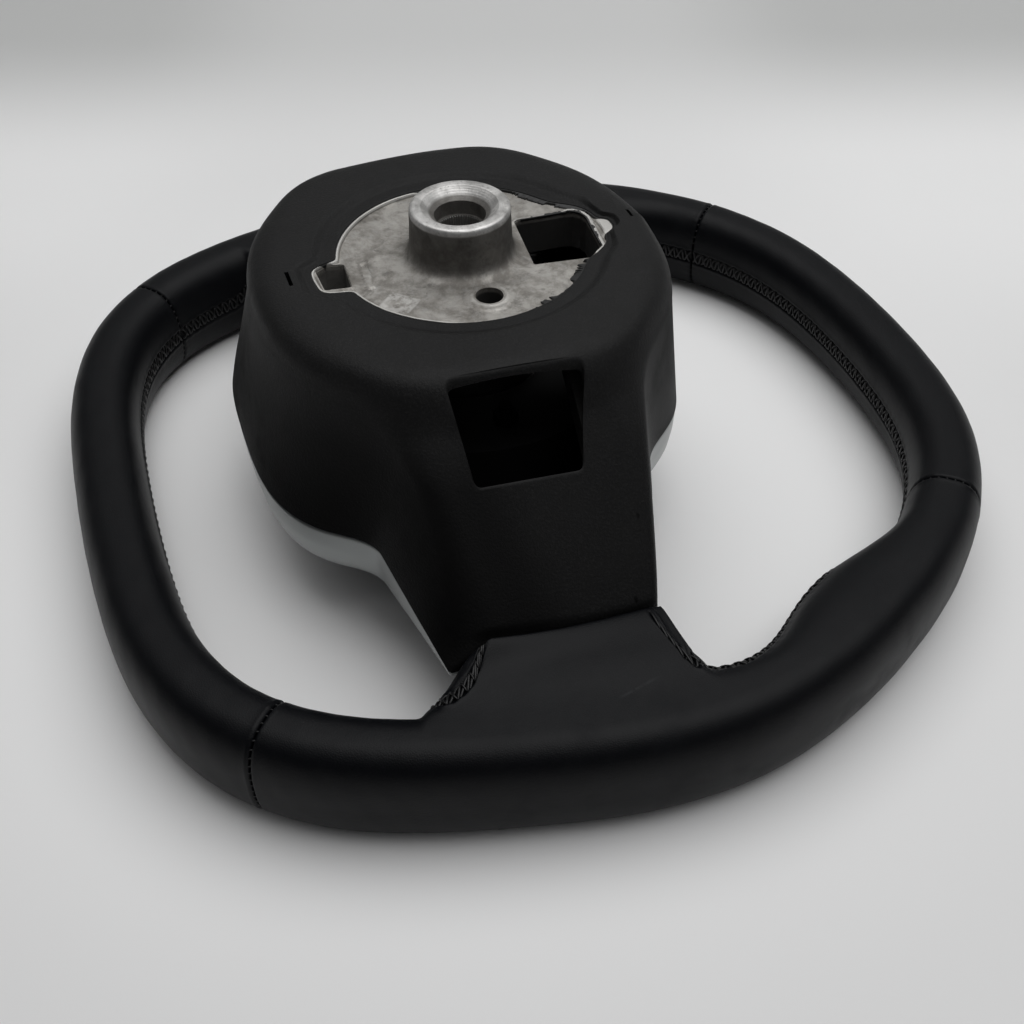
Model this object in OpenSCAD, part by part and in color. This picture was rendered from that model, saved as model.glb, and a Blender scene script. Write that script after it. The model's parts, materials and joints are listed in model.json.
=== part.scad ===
// Two-spoke steering wheel, lying face down on its rim.
// Frame: origin on the column axis at the mouth of the column bore,
// +Z up the column (away from the driver), +Y to the top of the wheel,
// +X to the driver's left spoke. Units are millimetres.

/* [Rim] */
// Mean radius of the rim's centreline
rim_r = 169.75; // [165:0.25:172]
// How far the rim's middle sits above the column axis
rim_shift = 18.8; // [17:0.1:20]
// How square the rim is
rim_square = 4.3; // [3.5:0.1:5]
// Half width of the rim's section, in the plane of the wheel
rim_a = 13.9; // [13:0.1:14.5]
// Roundness of the section: 2 is an ellipse, more is squarer
rim_n = 2.6; // [2.2:0.1:3]
// Height of the rim's upper crown
rim_top = -85.95; // [-87:0.05:-85]
// Height of the rim's lower crown, which the wheel lies on
rim_bot = -126.9; // [-128:0.1:-126]
// Thickness of the leather
leather_t = 1.3; // [1:0.1:1.5]
// Width of the open seam between two leather panels, in degrees
seam_gap = 0.12; // [0.08:0.01:0.2]
// How far the thumb rests stand into the ring
thumb_h = 11; // [8:0.5:12]
// Angle of the thumb rest's middle above the spoke
thumb_at = 34; // [33:0.5:35]

/* [Casting] */
// Radius of the smooth mouth of the column bore
entry_r = 9.3; // [9.1:0.05:9.4]
// Depth of the smooth mouth below the origin
entry_l = 5; // [4:0.5:6]
// Radius of the toothed bore that grips the column
spline_r = 8.3; // [8:0.05:8.5]
// Length of the toothed bore
spline_l = 14; // [12:0.5:15]
// Radius of the column bolt's hole
bolt_r = 6.5; // [6:0.1:7]
// Outer radius of the boss at its upper rim
boss_r = 17.5; // [17:0.1:18]
// Height of the boss above the origin
boss_h = 4; // [3.5:0.1:4]
// Upper face of the casting's plate
plate_z = -15.5; // [-16:0.1:-15.2]
// Radius of the round hole in the plate
plate_hole_r = 4.95; // [4.5:0.05:5.5]
// Radius of the casting's round bar inside the rim
core_r = 6.5; // [5.5:0.1:6.8]
// Radius of the flange that carries the spokes
flange_r = 58; // [56:0.5:59]

/* [Rear cover] */
// Height of the cover's top at its opening
cover_z = -14; // [-14.2:0.1:-13.8]
// How much higher the top is away from the opening
cover_rise = 1.6; // [1:0.1:1.7]
// Height of the parting line round the hub
part_z = -76; // [-77:0.5:-75]
// Radius of the cover's opening
open_r = 45.6; // [45.2:0.1:45.9]
// Slope of the spoke's sloping face: drop for each mm outwards
face_slope = 1.3; // [1.28:0.01:1.32]
// Where the covers end and the leather starts, from the axis
spoke_end = 124.6; // [124.2:0.1:124.8]

/* [Front] */
// Lowest face of the front trim
trim_z = -96; // [-96.5:0.1:-95.5]
// Radius of the horn pad where it meets the switch panels
pad_r = 76; // [75:0.5:76.2]
// How far the horn pad bulges below the trim
pad_bulge = 15; // [12:0.5:17]
// How far the horn pad travels
horn_travel = 1.5; // [1:0.1:1.8]
// How far a switch button travels
button_travel = 0.7; // [0.5:0.1:0.8]
// Radius of the thumb rollers
roller_r = 7; // [6.8:0.1:7.1]

/* [Hidden] */

seam_low = -40.5;      // seam between a side panel and the bottom panel
seam_high = 56.4;      // seam between a side panel and the top panel
NS = 16;               // points round a rim section
NP = 96;               // columns round the cover

// ---------- small helpers ----------
function clamp(x, a, b) = min(max(x, a), b);
function mix(a, b, k) = a + (b - a) * k;
function sstep(a, b, x) = let (k = clamp((x - a) / (b - a), 0, 1)) k * k * (3 - 2 * k);
function smin(a, b, k) = let (h = clamp(0.5 + 0.5 * (b - a) / k, 0, 1)) mix(b, a, h) - k * h * (1 - h);
function smax(a, b, k) = -smin(-a, -b, k);
function spow(x, p) = sign(x) * pow(abs(x), p);
function unit(v) = v / norm(v);
function fold(t) = let (u = t - 360 * floor((t + 90) / 360)) u > 90 ? 180 - u : u;

// ---------- rim: centreline, section, thumb rests and spoke roots ----------
function rim_rad(t) = rim_r + rim_shift * sin(t) + 0.14 * cos(2 * t) - 3.9 * sin(3 * t)
    - rim_square * cos(4 * t) + 1.4 * sin(5 * t) + 0.9 * cos(6 * t) + 1.5 * sin(7 * t);
function rim_xy(t) = rim_rad(t) * [cos(t), sin(t)];
function rim_out(t) = let (d = unit(rim_xy(t + 0.2) - rim_xy(t - 0.2))) [d[1], -d[0]];
function rim_zt(t) = rim_top + 1.4 * cos(2 * t) - 0.65 * cos(4 * t);
function rim_zb(t) = rim_bot - 0.8 * cos(2 * t);
function rim_zc(t) = (rim_zt(t) + rim_zb(t)) / 2;

// inner half width of the plain rim with its thumb rest
function w_rim(t) = let (f = fold(t), d = abs(f - thumb_at) / 18.5)
    rim_a + (d < 1 ? thumb_h * 0.5 * (1 + cos(180 * d)) : 0);
// the joint between spoke and root bows back towards the axis, most at its lower corner
function bow(y) = pow(clamp((24 - y) / 57, 0, 1.25), 1.8);
function end_x(y, z) = spoke_end - 3 * bow(y) * sstep(-88, -81, z);
// inner half width that reaches the end of the spoke root, low down (b = 0) and at its top (b = 1)
function w_full(t, b) = let (p = rim_xy(t), n = rim_out(t), nx = max(abs(n[0]), 0.2), w = (abs(p[0]) - spoke_end - 1) / nx)
    w + 3 * b * bow(p[1] - n[1] * w) / nx;
// how far the root reaches in at a station; d draws its two flanks in by as many degrees
function root_mid(t, d) = let (f = fold(t), x = max(f - 9.85 + d, 0))
    clamp(smin(smax(0.17 * (f + 23.6 - d), 0, 0.12) - 0.03, 1, 0.3), 0, 1) * (0.8 * exp(-x / 0.5) + 0.2 * exp(-x / 5.5));
function root_top(t, d) = let (f = fold(t)) sstep(-21.5, -14.5, f - d) * (f > 8.15 - d ? exp((8.15 - d - f) / 0.65) : 1);
function w_at(t, k, b) = mix(w_rim(t), max(w_full(t, b), w_rim(t)), k);

// one point of the section: s runs from outside (0) over the top (90)
function sec(t, s, off) =
    let (p = rim_xy(t), n = rim_out(t), c = cos(s), q = sin(s),
         zt = rim_zt(t) - off, zb = rim_zb(t) + off, zc = rim_zc(t))
    c >= 0
    ? let (x = (rim_a - off) * spow(c, 2 / rim_n))
      [p[0] + n[0] * x, p[1] + n[1] * x, zc + (zt - zb) / 2 * spow(q, 2 / rim_n)]
    : let (k = root_mid(t, off * 0.34), m = rim_n + 13 * k,
           w = mix(w_at(t, k, 0), w_at(t, root_top(t, off * 0.34), 1), sstep(0.1, 0.9, q)),
           x = (w - off) * pow(-c, 2 / m), g = k * sstep(8, 26, x),
           y = p[1] - n[1] * x, e = (abs(p[0] - n[0] * x) - end_x(y, -84)) / 8,
           zm = mix(zc, -94, g), z1 = mix(zt, -84.2 + (0.9 + 4.3 * bow(y)) * exp(-e * e) - off, g), z0 = mix(zb, -104 + off, g),
           h = pow(abs(q), 2 / m))
      [p[0] - n[0] * x, p[1] - n[1] * x, q >= 0 ? zm + (z1 - zm) * h : zm - (zm - z0) * h];
function ring_at(t, off) = [for (j = [0 : NS - 1]) sec(t, j * 360 / NS, off)];

// stations along the rim, chosen closer where the spoke root and thumb rest turn
side_t = [seam_low, -36, -31, -27, -24.8, -23.6, -22.6, -21.5, -20.3, -19, -17.5, -15.5, -12.5, -9, -5, -1, 3, 6.4, 7.9,
    8.9, 9.7, 9.95, 10.3, 10.8, 11.6, 12.8, 14.6, 17, 20, 23.5, 27, 31, 35, 39.5, 44, 50, seam_high];
top_t = [seam_high, 62, 68, 74, 79, 84, 90, 96, 101, 106, 112, 118, 180 - seam_high];
bottom_t = [180 - seam_low, 226, 232, 238, 246, 254, 262, 270, 278, 286, 294, 302, 308, 314, 360 + seam_low];

// ---------- polyhedron builders ----------
function tri2(a, b, c, d) = [[a, b, c], [a, c, d]];
function cat(l) = [for (a = l) for (b = a) b];
// a length of skin: outer rings and inner rings, closed at both ends
module skin(outer, inner) {
    n = len(outer); m = len(outer[0]); N = n * m;
    function o(i, j) = i * m + (j % m);
    function e(i, j) = N + i * m + (j % m);
    polyhedron(concat(cat(outer), cat(inner)), concat(
        [for (i = [0 : n - 2]) for (j = [0 : m - 1]) each tri2(o(i, j), o(i, j + 1), o(i + 1, j + 1), o(i + 1, j))],
        [for (i = [0 : n - 2]) for (j = [0 : m - 1]) each tri2(e(i, j), e(i + 1, j), e(i + 1, j + 1), e(i, j + 1))],
        [for (j = [0 : m - 1]) each tri2(o(0, j), e(0, j), e(0, j + 1), o(0, j + 1))],
        [for (j = [0 : m - 1]) each tri2(o(n - 1, j), o(n - 1, j + 1), e(n - 1, j + 1), e(n - 1, j))]),
        convexity = 8);
}
// a closed tube of rings; quads of rings a to b are split along their other diagonal
module hoop(rings, a = 1, b = 0) {
    n = len(rings); m = len(rings[0]);
    function o(i, j) = (i % n) * m + (j % m);
    polyhedron(cat(rings),
        [for (i = [0 : n - 1]) for (j = [0 : m - 1]) each i >= a && i < b
            ? tri2(o(i + 1, j), o(i, j), o(i, j + 1), o(i + 1, j + 1))
            : tri2(o(i, j), o(i, j + 1), o(i + 1, j + 1), o(i + 1, j))],
        convexity = 8);
}
// a closed ring whose profile, one list per column, runs clockwise in (r, z)
module turned(cols) {
    n = len(cols); m = len(cols[0]);
    function o(i, k) = (i % n) * m + (k % m);
    polyhedron(cat(cols),
        [for (i = [0 : n - 1]) for (k = [0 : m - 1]) each tri2(o(i, k), o(i + 1, k), o(i + 1, k + 1), o(i, k + 1))],
        convexity = 8);
}
// the same, but the profile starts and ends on the axis
module capped(cols, z0, z1) {
    n = len(cols); m = len(cols[0]);
    function o(i, k) = (i % n) * m + k;
    polyhedron(concat(cat(cols), [[0, 0, z0], [0, 0, z1]]), concat(
        [for (i = [0 : n - 1]) for (k = [0 : m - 2]) each tri2(o(i, k), o(i + 1, k), o(i + 1, k + 1), o(i, k + 1))],
        [for (i = [0 : n - 1]) [n * m, o(i + 1, 0), o(i, 0)]],
        [for (i = [0 : n - 1]) [n * m + 1, o(i, m - 1), o(i + 1, m - 1)]]),
        convexity = 8);
}

// ---------- hub outlines ----------
function turn(a) = a - 360 * floor((a + 180) / 360);
function cover_open(p) = open_r + 8.6 * exp(-pow(turn(p - 89) / 22, 4)) + 3.9 * exp(-pow(turn(p - 88) / 5, 4))
    + 9.6 * exp(-pow(turn(p + 87.6) / 11.5, 6));
function hub_top_r(p) = 73.4 - 2.6 * sin(p) + 1.2 * cos(2 * p) - 1.2 * cos(4 * p);
function hub_low_r(p) = 79.7 - 7.2 * sin(p) - 2.7 * sin(3 * p) - 11.5 * cos(2 * p) - 6.7 * cos(4 * p);
top_z = cover_z + cover_rise;
shoulder_z = top_z - 13;
function hub_r(p, z) = let (r0 = hub_top_r(p), u = clamp((z - shoulder_z) / 13, 0, 1))
    z > shoulder_z ? r0 - 8 + 14 * pow(1 - pow(u, 2.3), 1 / 2.3)
    : mix(r0 + 6, hub_low_r(p), min(1, (shoulder_z - z) / (shoulder_z - part_z)));
// spoke: sloping face, two flanks that spread downwards, and a flat end
function face_z(x) = -18 - face_slope * (x - 74);
function edge_z(x) = part_z - 0.35 * clamp(x - 79, 0, 47);
function spoke_f(x, y, z) =
    let (zf = face_z(x), zl = edge_z(x), u = pow(clamp((zf - z) / max(zf - zl, 4), 0, 1), 0.8),
         yl = mix(-46 + 0.19 * (x - 62), -57 + 0.21 * (x - 79), u),
         yr = mix(40 - 0.19 * (x - 62), 44.5 - 0.385 * (x - 79), u))
    smax(smax((z - zf) * 0.61, max(yl - y, y - yr) * 0.9, mix(16, 5, sstep(2, 26, -18 - z))), x - end_x(y, z), 1);
function cover_f(r, p, z) = let (x = abs(r * cos(p)), y = r * sin(p))
    smin(r - hub_r(p, z), spoke_f(x, y, z), 9);
function cover_find(p, z, a, b, n) = n == 0 ? (a + b) / 2
    : let (m = (a + b) / 2) cover_f(m, p, z) > 0 ? cover_find(p, z, a, m, n - 1) : cover_find(p, z, m, b, n - 1);
function cover_r(p, z) = cover_find(p, z, 45, 145, 14);
// height of the parting line at a column
function part_at(p) = let (f = abs(fold(p)) > 60 ? 60 : fold(p), k = tan(f),
        x = f < 0 ? 73.6 / (0.21 - k) : 74.9 / (0.385 + k))
    edge_z(clamp(abs(x), 0, spoke_end));

cols_p = [for (i = [0 : NP - 1]) i * 360 / NP];
part_rz = [for (p = cols_p) let (z = part_at(p)) [cover_r(p, z), z]];

function polar(r, p, z) = [r * cos(p), r * sin(p), z];

// ---------- casting ----------
function open_outline(g) = [for (i = [0 : 179]) let (p = i * 2) (cover_open(p) + g) * [cos(p), sin(p)]];
window_pts = [[16.8, 21.9], [19.3, 42.6], [14.8, 48.8], [-5.5, 51], [-8.8, 50.2], [-11.4, 47.8], [-12.4, 45], [-13.2, 26.3], [-12, 24.8]];
pocket_pts = [[-5, -52.8], [7.4, -52.4], [8.6, -43.2], [-6.2, -42.2], [-7.6, -48.8]];
// a spoke leg: its side view, with g added all round
function leg_side(e, g) = [[48, -20 + g], [57, -20 + g], [88, -51.5 + g], [108, -75 + g], [114, -84.5 + g], [119, -87 + g], [124, -88 + g],
    [134, -91 + g], [150, -99 + g], [e + g, -101 + g], [e + g, -110.5 - g], [146, -109 - g], [132, -97 - g],
    [125.5, -91.8 - g], [113.5, -91.5 - g], [110.5, -89 - g], [106, -79.6 - g], [82, -57 - g], [52, -24 - g], [48, -24 - g]];
module leg(y, w, e, g = 0) {
    translate([0, y + w / 2 + g, 0]) rotate([90, 0, 0]) linear_extrude(w + 2 * g) polygon(leg_side(e, g));
}
module legs(g = 0) {
    for (m = [0, 1]) mirror([m, 0, 0]) {
        leg(-35.9, 6, 160, g);
        leg(19.5, 6, 169, g);
    }
}
module core_ring(r) {
    hoop([for (t = [0 : 6 : 354]) let (p = rim_xy(t), n = rim_out(t), z = rim_zc(t))
        [for (j = [0 : 7]) let (s = j * 45) [p[0] + n[0] * r * cos(s), p[1] + n[1] * r * cos(s), z + r * sin(s)]]]);
}
pin_at = [[36, 40], [-36, 40], [30, -40], [-30, -40]];
screw_at = [[51, 12], [-51, 12], [46, -24], [-46, -24]];

module armature() {
    color([0.62, 0.60, 0.57]) {
        difference() {
            union() {
                // boss and lower hub
                rotate_extrude($fn = 96) polygon([[8, boss_h - 4.2], [9.6, 0.35], [10.4, 0.9], [14.2, boss_h - 0.35],
                    [15, boss_h], [15.7, boss_h], [16.6, boss_h - 0.3], [17.25, boss_h - 1], [boss_r, boss_h - 2],
                    [18.7, -11.3], [19.1, -13], [20, -14.4], [21.3, -15.2], [23, plate_z], [23, -20], [20, -26],
                    [19, -34], [8, -34]]);
                translate([0, 0, -20]) linear_extrude(plate_z + 20) polygon(open_outline(-0.5));
                translate([0, 0, -24]) cylinder(r = flange_r, h = 4.02, $fn = 120);
                // raised pad round the plate's hole
                translate([30, 0.5, -20]) cylinder(r = 9, h = plate_z + 20.3, $fn = 48);
                // walls of the window and of the pocket
                translate([0, 0, -30]) linear_extrude(12) polygon([for (q = window_pts) [2.4, 37] + ([q[0], q[1]] - [2.4, 37]) * 1.16]);
                translate([-10, -55.4, -28]) cube([21, 15, 11]);
                for (q = pin_at) translate([q[0], q[1], -36]) cylinder(r = 9, h = 17, $fn = 48);
                legs();
            }
            // column bore, toothed bore, bolt hole and the bolt head's room
            translate([0, 0, -entry_l]) cylinder(r = entry_r, h = 20, $fn = 96);
            translate([0, 0, -entry_l - spline_l]) cylinder(r = spline_r, h = spline_l + 1, $fn = 96);
            translate([0, 0, -26]) cylinder(r = bolt_r, h = 10, $fn = 64);
            translate([0, 0, -35]) cylinder(r = 12, h = 10, $fn = 64);
            // round hole, window and square pocket
            translate([30, 0.5, -40]) cylinder(r = plate_hole_r, h = 40, $fn = 64);
            translate([0, 0, -40]) linear_extrude(40) polygon(window_pts);
            translate([0, 0, -26]) linear_extrude(20) polygon(pocket_pts);
            for (q = pin_at) translate([q[0], q[1], -37]) cylinder(r = 6, h = 13, $fn = 48);
            for (q = screw_at) translate([q[0], q[1], -30]) cylinder(r = 2.2, h = 12, $fn = 32);
        }
        core_ring(core_r);
    }
}

// ---------- rim ----------
module leather(list, a, b) {
    ts = [for (i = [0 : len(list) - 1]) list[i] + (i == 0 ? a : i == len(list) - 1 ? -b : 0)];
    skin([for (t = ts) ring_at(t, 0)], [for (t = ts) ring_at(t, leather_t)]);
}
module root_slots() {
    for (m = [0, 1]) mirror([m, 0, 0]) for (y = [-36, 19.5])
        translate([120, y - 3.5, -98]) cube([12, 7, 12]);
}
module rim_foam() {
    all = concat([for (i = [0 : len(side_t) - 2]) side_t[i]], [for (i = [0 : len(top_t) - 2]) top_t[i]],
        [for (i = [len(side_t) - 1 : -1 : 1]) 180 - side_t[i]], [for (i = [0 : len(bottom_t) - 2]) bottom_t[i]]);
    color([0.10, 0.10, 0.10]) difference() {
        hoop([for (t = all) ring_at(t, leather_t + 0.9)], len(side_t) + len(top_t) - 2, 2 * len(side_t) + len(top_t) - 3);
        core_ring(core_r + 0.4);
        legs(0.4);
    }
}
module leather_top() { color([0.035, 0.035, 0.04]) leather(top_t, seam_gap, seam_gap); }
module leather_bottom() { color([0.035, 0.035, 0.04]) leather(bottom_t, seam_gap, seam_gap); }
module leather_left() { color([0.04, 0.04, 0.045]) difference() { leather(side_t, seam_gap, seam_gap); root_slots(); } }
module leather_right() { color([0.04, 0.04, 0.045]) mirror([1, 0, 0]) difference() { leather(side_t, seam_gap, seam_gap); root_slots(); } }

// ---------- rear cover ----------
cover_f_steps = [0.25, 0.5, 0.75, 1];
module rear_cover() {
    cols = [for (i = [0 : NP - 1]) let (p = cols_p[i], zp = part_rz[i][1], r0 = hub_top_r(p), ro = cover_open(p), w = r0 - 8 - ro,
        out = concat([[ro - 3, cover_z], [ro + min(5, 0.35 * w), cover_z], [ro + min(9.2, 0.9 * w), top_z - 0.05], [r0 - 7.5, top_z - 0.1]],
            [for (z = [top_z - 2.3, top_z - 6.5, shoulder_z]) [cover_r(p, z), z]],
            [for (f = cover_f_steps) let (z = mix(shoulder_z, zp, f)) [cover_r(p, z), z]]),
        dr = [0, 0, 0, 0, 1.4, 2.1, 2.5, 2.6, 2.6, 2.6, 2.6], dz = [2.2, 2.2, 2.4, 2.3, 2, 1.3, 0.5, 0, 0, 0, 0],
        in = [for (k = [10 : -1 : 0]) [out[k][0] - dr[k], out[k][1] - dz[k]]])
        [for (q = concat(out, in)) polar(q[0], p, q[1])]];
    color([0.055, 0.055, 0.058]) difference() {
        union() {
            turned(cols);
            for (q = screw_at) translate([q[0], q[1], -19.9]) cylinder(r = 4, h = 4.6, $fn = 32);
        }
        translate([0, 0, -30]) linear_extrude(20) polygon(open_outline(0));
        // window in each spoke's sloping face
        for (m = [0, 1]) mirror([m, 0, 0]) translate([0, 0, -53]) linear_extrude(45)
            polygon([[73.4, -29], [74.6, -30], [91, -27.5], [92.5, -25.5], [92.5, 10], [91, 12], [74.6, 17.4], [73.4, 16.4]]);
        // two clip slots on the centre line
        translate([-4.5, -64, -20]) cube([9, 1.4, 10]);
        translate([-2.5, 65.4, -20]) cube([5, 1.2, 10]);
        for (q = screw_at) translate([q[0], q[1], -21]) cylinder(r = 1.85, h = 5.9, $fn = 32);
        for (m = [0, 1]) mirror([m, 0, 0]) for (y = [-36, 19.5]) translate([118.5, y - 3.5, -97]) cube([8, 7, 11.8]);
    }
}
module cover_screws() {
    color([0.7, 0.7, 0.72]) for (q = screw_at) translate([q[0], q[1], 0]) {
        translate([0, 0, -26.4]) cylinder(r = 3.8, h = 2.35, $fn = 48);
        translate([0, 0, -26.4]) cylinder(r = 1.75, h = 11, $fn = 32);
    }
}

// ---------- front trim and horn pad ----------
module front_trim() {
    cols = [for (i = [0 : NP - 1]) let (p = cols_p[i], r = part_rz[i][0], zp = part_rz[i][1],
        zi = min(trim_z + 2.9, zp - 0.7), h = zp - trim_z,
        prof = [[r - 2.8, zp - 0.3], [r - 0.1, zp - 0.3], [r - 0.5, zp - 0.45 * h], [r - 1.7, zp - 0.8 * h],
            [r - 4, trim_z], [r - 12, trim_z + 0.3], [r - 12, zi], [r - 4.8, zi]])
        [for (q = prof) polar(q[0], p, q[1])]];
    color([0.78, 0.79, 0.80]) turned(cols);
}
function pad_out(i) = min(part_rz[i][0] - 13, pad_r + 14 * sstep(36, 50, abs(fold(cols_p[i]))));
module horn_pad() {
    cols = [for (i = [0 : 2 : NP - 1]) let (p = cols_p[i], r = pad_out(i), zb = trim_z + 0.5)
        [for (q = [[0.45 * r, zb - pad_bulge * 0.88 + 3], [0.8 * r, zb - pad_bulge * 0.45 + 3], [r - 4, zb + 3],
            [r - 2.6, zb + 5], [r - 2.6, -84], [r, -84], [r, zb + 1.5], [r - 2, zb - 1.5],
            [0.8 * r, zb - pad_bulge * 0.47], [0.45 * r, zb - pad_bulge * 0.89]]) polar(q[0], p, q[1])]];
    color([0.05, 0.05, 0.055]) capped(cols, trim_z + 0.5 - pad_bulge + 3, trim_z + 0.5 - pad_bulge);
}

// ---------- airbag module behind the horn pad ----------
module airbag_housing() {
    color([0.45, 0.46, 0.48]) difference() {
        rotate_extrude($fn = 96) polygon([[31, -58], [62, -58], [62, -88], [60.4, -88], [60.4, -60], [31, -60]]);
        for (q = pin_at) translate([q[0], q[1], -61]) cylinder(r = 2.5, h = 4, $fn = 32);
        for (a = [0 : 90 : 270]) rotate(a) translate([47, 0, -61]) cylinder(r = 2.6, h = 4, $fn = 32);
    }
}
module guide_pins() {
    color([0.75, 0.75, 0.77]) for (q = pin_at) translate([q[0], q[1], 0]) {
        translate([0, 0, -57.95]) cylinder(r = 4, h = 30.45 - horn_travel, $fn = 48);
        translate([0, 0, -27.5 - horn_travel]) cylinder(r1 = 4, r2 = 3, h = 1, $fn = 48);
        translate([0, 0, -61.5]) cylinder(r = 2.4, h = 4, $fn = 32);
    }
}
module guide_bushes() {
    color([0.85, 0.83, 0.75]) for (q = pin_at) translate([q[0], q[1], 0]) difference() {
        union() {
            translate([0, 0, -36.9]) cylinder(r = 5.95, h = 8.4, $fn = 48);
            translate([0, 0, -37.2]) cylinder(r = 8, h = 1.15, $fn = 48);
        }
        translate([0, 0, -38]) cylinder(r = 4.35, h = 12, $fn = 48);
    }
}
// coil spring: wire rings swept along a helix
module coil(r, wire, z0, z1, turns, q) {
    n = turns * 12;
    rings = [for (i = [0 : n]) let (a = i * 30, z = mix(z0, z1, i / n))
        [for (j = [0 : 5]) let (s = j * 60, rr = r + wire * cos(s)) [q[0] + rr * cos(a), q[1] + rr * sin(a), z + wire * sin(s)]]];
    m = 6;
    function o(i, j) = i * m + (j % m);
    polyhedron(cat(rings), concat(
        [for (i = [0 : n - 1]) for (j = [0 : m - 1]) each tri2(o(i, j), o(i, j + 1), o(i + 1, j + 1), o(i + 1, j))],
        [[for (j = [m - 1 : -1 : 0]) o(0, j)]], [[for (j = [0 : m - 1]) o(n, j)]]), convexity = 6);
}
module horn_springs() {
    color([0.6, 0.6, 0.62]) for (q = pin_at) coil(6.2, 0.7, -57.1, -38, 4, q);
}
module inflator() {
    color([0.68, 0.68, 0.70]) rotate_extrude($fn = 96) polygon([[0, -44], [26, -44], [29, -45.5], [30.2, -48], [30.2, -60.2],
        [37, -60.2], [37, -62], [30, -62], [30, -69], [28, -71], [0, -71]]);
}
module airbag_cushion() {
    color([0.82, 0.82, 0.80]) rotate_extrude($fn = 72) polygon([[0, -72], [31, -72], [38.5, -69], [38.5, -63], [57, -63],
        [59.4, -66], [59.4, -88], [54, -92.5], [44, -98], [30, -102.5], [15, -104.6], [0, -105]]);
}
module cushion_nuts() {
    color([0.7, 0.7, 0.72]) for (a = [0 : 90 : 270]) rotate(a) translate([47, 0, 0]) {
        translate([0, 0, -57.95]) cylinder(r = 4.6, h = 4, $fn = 6);
        translate([0, 0, -62.6]) cylinder(r = 2.5, h = 12, $fn = 32);
        translate([0, 0, -62.6]) cylinder(r = 5, h = 2.5, $fn = 32);
    }
}

// ---------- spoke switches: drawn for the left (+X) spoke and mirrored ----------
panel_pts = [[60, -45.6], [79.5, -46], [97, -44], [110, -41], [112.6, -38.5], [112.6, 20.5], [110.8, 23], [95, 29], [79.5, 34.6], [60, 38.5]];
// button openings: x, y, width, height
key_box = [[84, 9.5, 18, 10.5], [84, -29.5, 24, 11.5], [99, -11, 9, 15]];
post_at = [[96.5, 6.4], [96.5, -14.6]];
module key_shape(k, g) { b = key_box[k]; translate([b[0] - g, b[1] - g]) square([b[2] + 2 * g, b[3] + 2 * g]); }
module switch_panel() {
    difference() {
        union() {
            translate([0, 0, -97]) linear_extrude(3) polygon(panel_pts);
            for (q = post_at) translate([q[0], q[1], -95]) cylinder(r = 1.8, h = 8.9, $fn = 32);
        }
        translate([0, 0, -100]) cylinder(r = pad_r + 1.3, h = 10, $fn = 160);
        for (k = [0 : 2]) translate([0, 0, -100]) linear_extrude(10) key_shape(k, 0.35);
        translate([83.9, -10.4, -100]) cube([10.2, 14.8, 10]);
        for (q = post_at) translate([q[0], q[1], -92]) cylinder(r = 1.05, h = 8, $fn = 24);
    }
}
module switch_case() {
    difference() {
        union() {
            difference() {
                union() {
                    translate([80, -32.2, -93.9]) cube([30.4, 47.6, 13.9]);
                    translate([80, 10, -93.9]) cube([24.6, 12.8, 13.9]);
                }
                translate([81.4, -30.8, -95]) cube([27.6, 44.8, 13.6]);
                translate([81.4, 10, -95]) cube([21.8, 11.4, 13.6]);
            }
            // cheeks that hold the roller's axle
            translate([81, -6, -93.6]) cube([1.9, 6, 8.6]);
            translate([95.1, -6, -93.6]) cube([1.4, 6, 12.5]);
        }
        translate([78, -3, -91.5]) rotate([0, 90, 0]) cylinder(r = 1.5, h = 25, $fn = 32);
        for (q = post_at) translate([q[0], q[1], -84]) cylinder(r = 1.3, h = 6, $fn = 24);
    }
}
module switch_board() {
    difference() {
        union() {
            translate([83.2, -30.4, -86]) cube([25.4, 44, 1.6]);
            translate([83.2, 10, -86]) cube([19.6, 10.8, 1.6]);
        }
        translate([83, -12, -90]) cube([14, 18, 10]);
        for (q = post_at) translate([q[0], q[1], -90]) cylinder(r = 1.3, h = 8, $fn = 24);
    }
}
module button(k) {
    b = key_box[k];
    translate([b[0], b[1], -98]) cube([b[2], b[3], 4.6]);
    translate([b[0] + 0.6, b[1] + 0.6, -98.5]) cube([b[2] - 1.2, b[3] - 1.2, 1]);
    translate([b[0] - 0.9, b[1] - 0.9, -93.7]) cube([b[2] + 1.8, b[3] + 1.8, 1]);
    translate([b[0] + b[2] / 2 - 2, b[1] + b[3] / 2 - 2, -93]) cube([4, 4, 6.8 - button_travel]);
}
module roller() {
    translate([84.6, -3, -91.5]) rotate([0, 90, 0]) difference() {
        linear_extrude(8.8) polygon([for (i = [0 : 47]) (i % 2 == 0 ? roller_r : roller_r - 0.45) * [cos(i * 7.5), sin(i * 7.5)]]);
        translate([0, 0, -1]) cylinder(r = 1.55, h = 12, $fn = 48);
    }
}
module roller_axle() { translate([80.2, -3, -91.5]) rotate([0, 90, 0]) cylinder(r = 1.49, h = 16.2, $fn = 48); }
module both(side) { mirror([side, 0, 0]) children(); }

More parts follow.
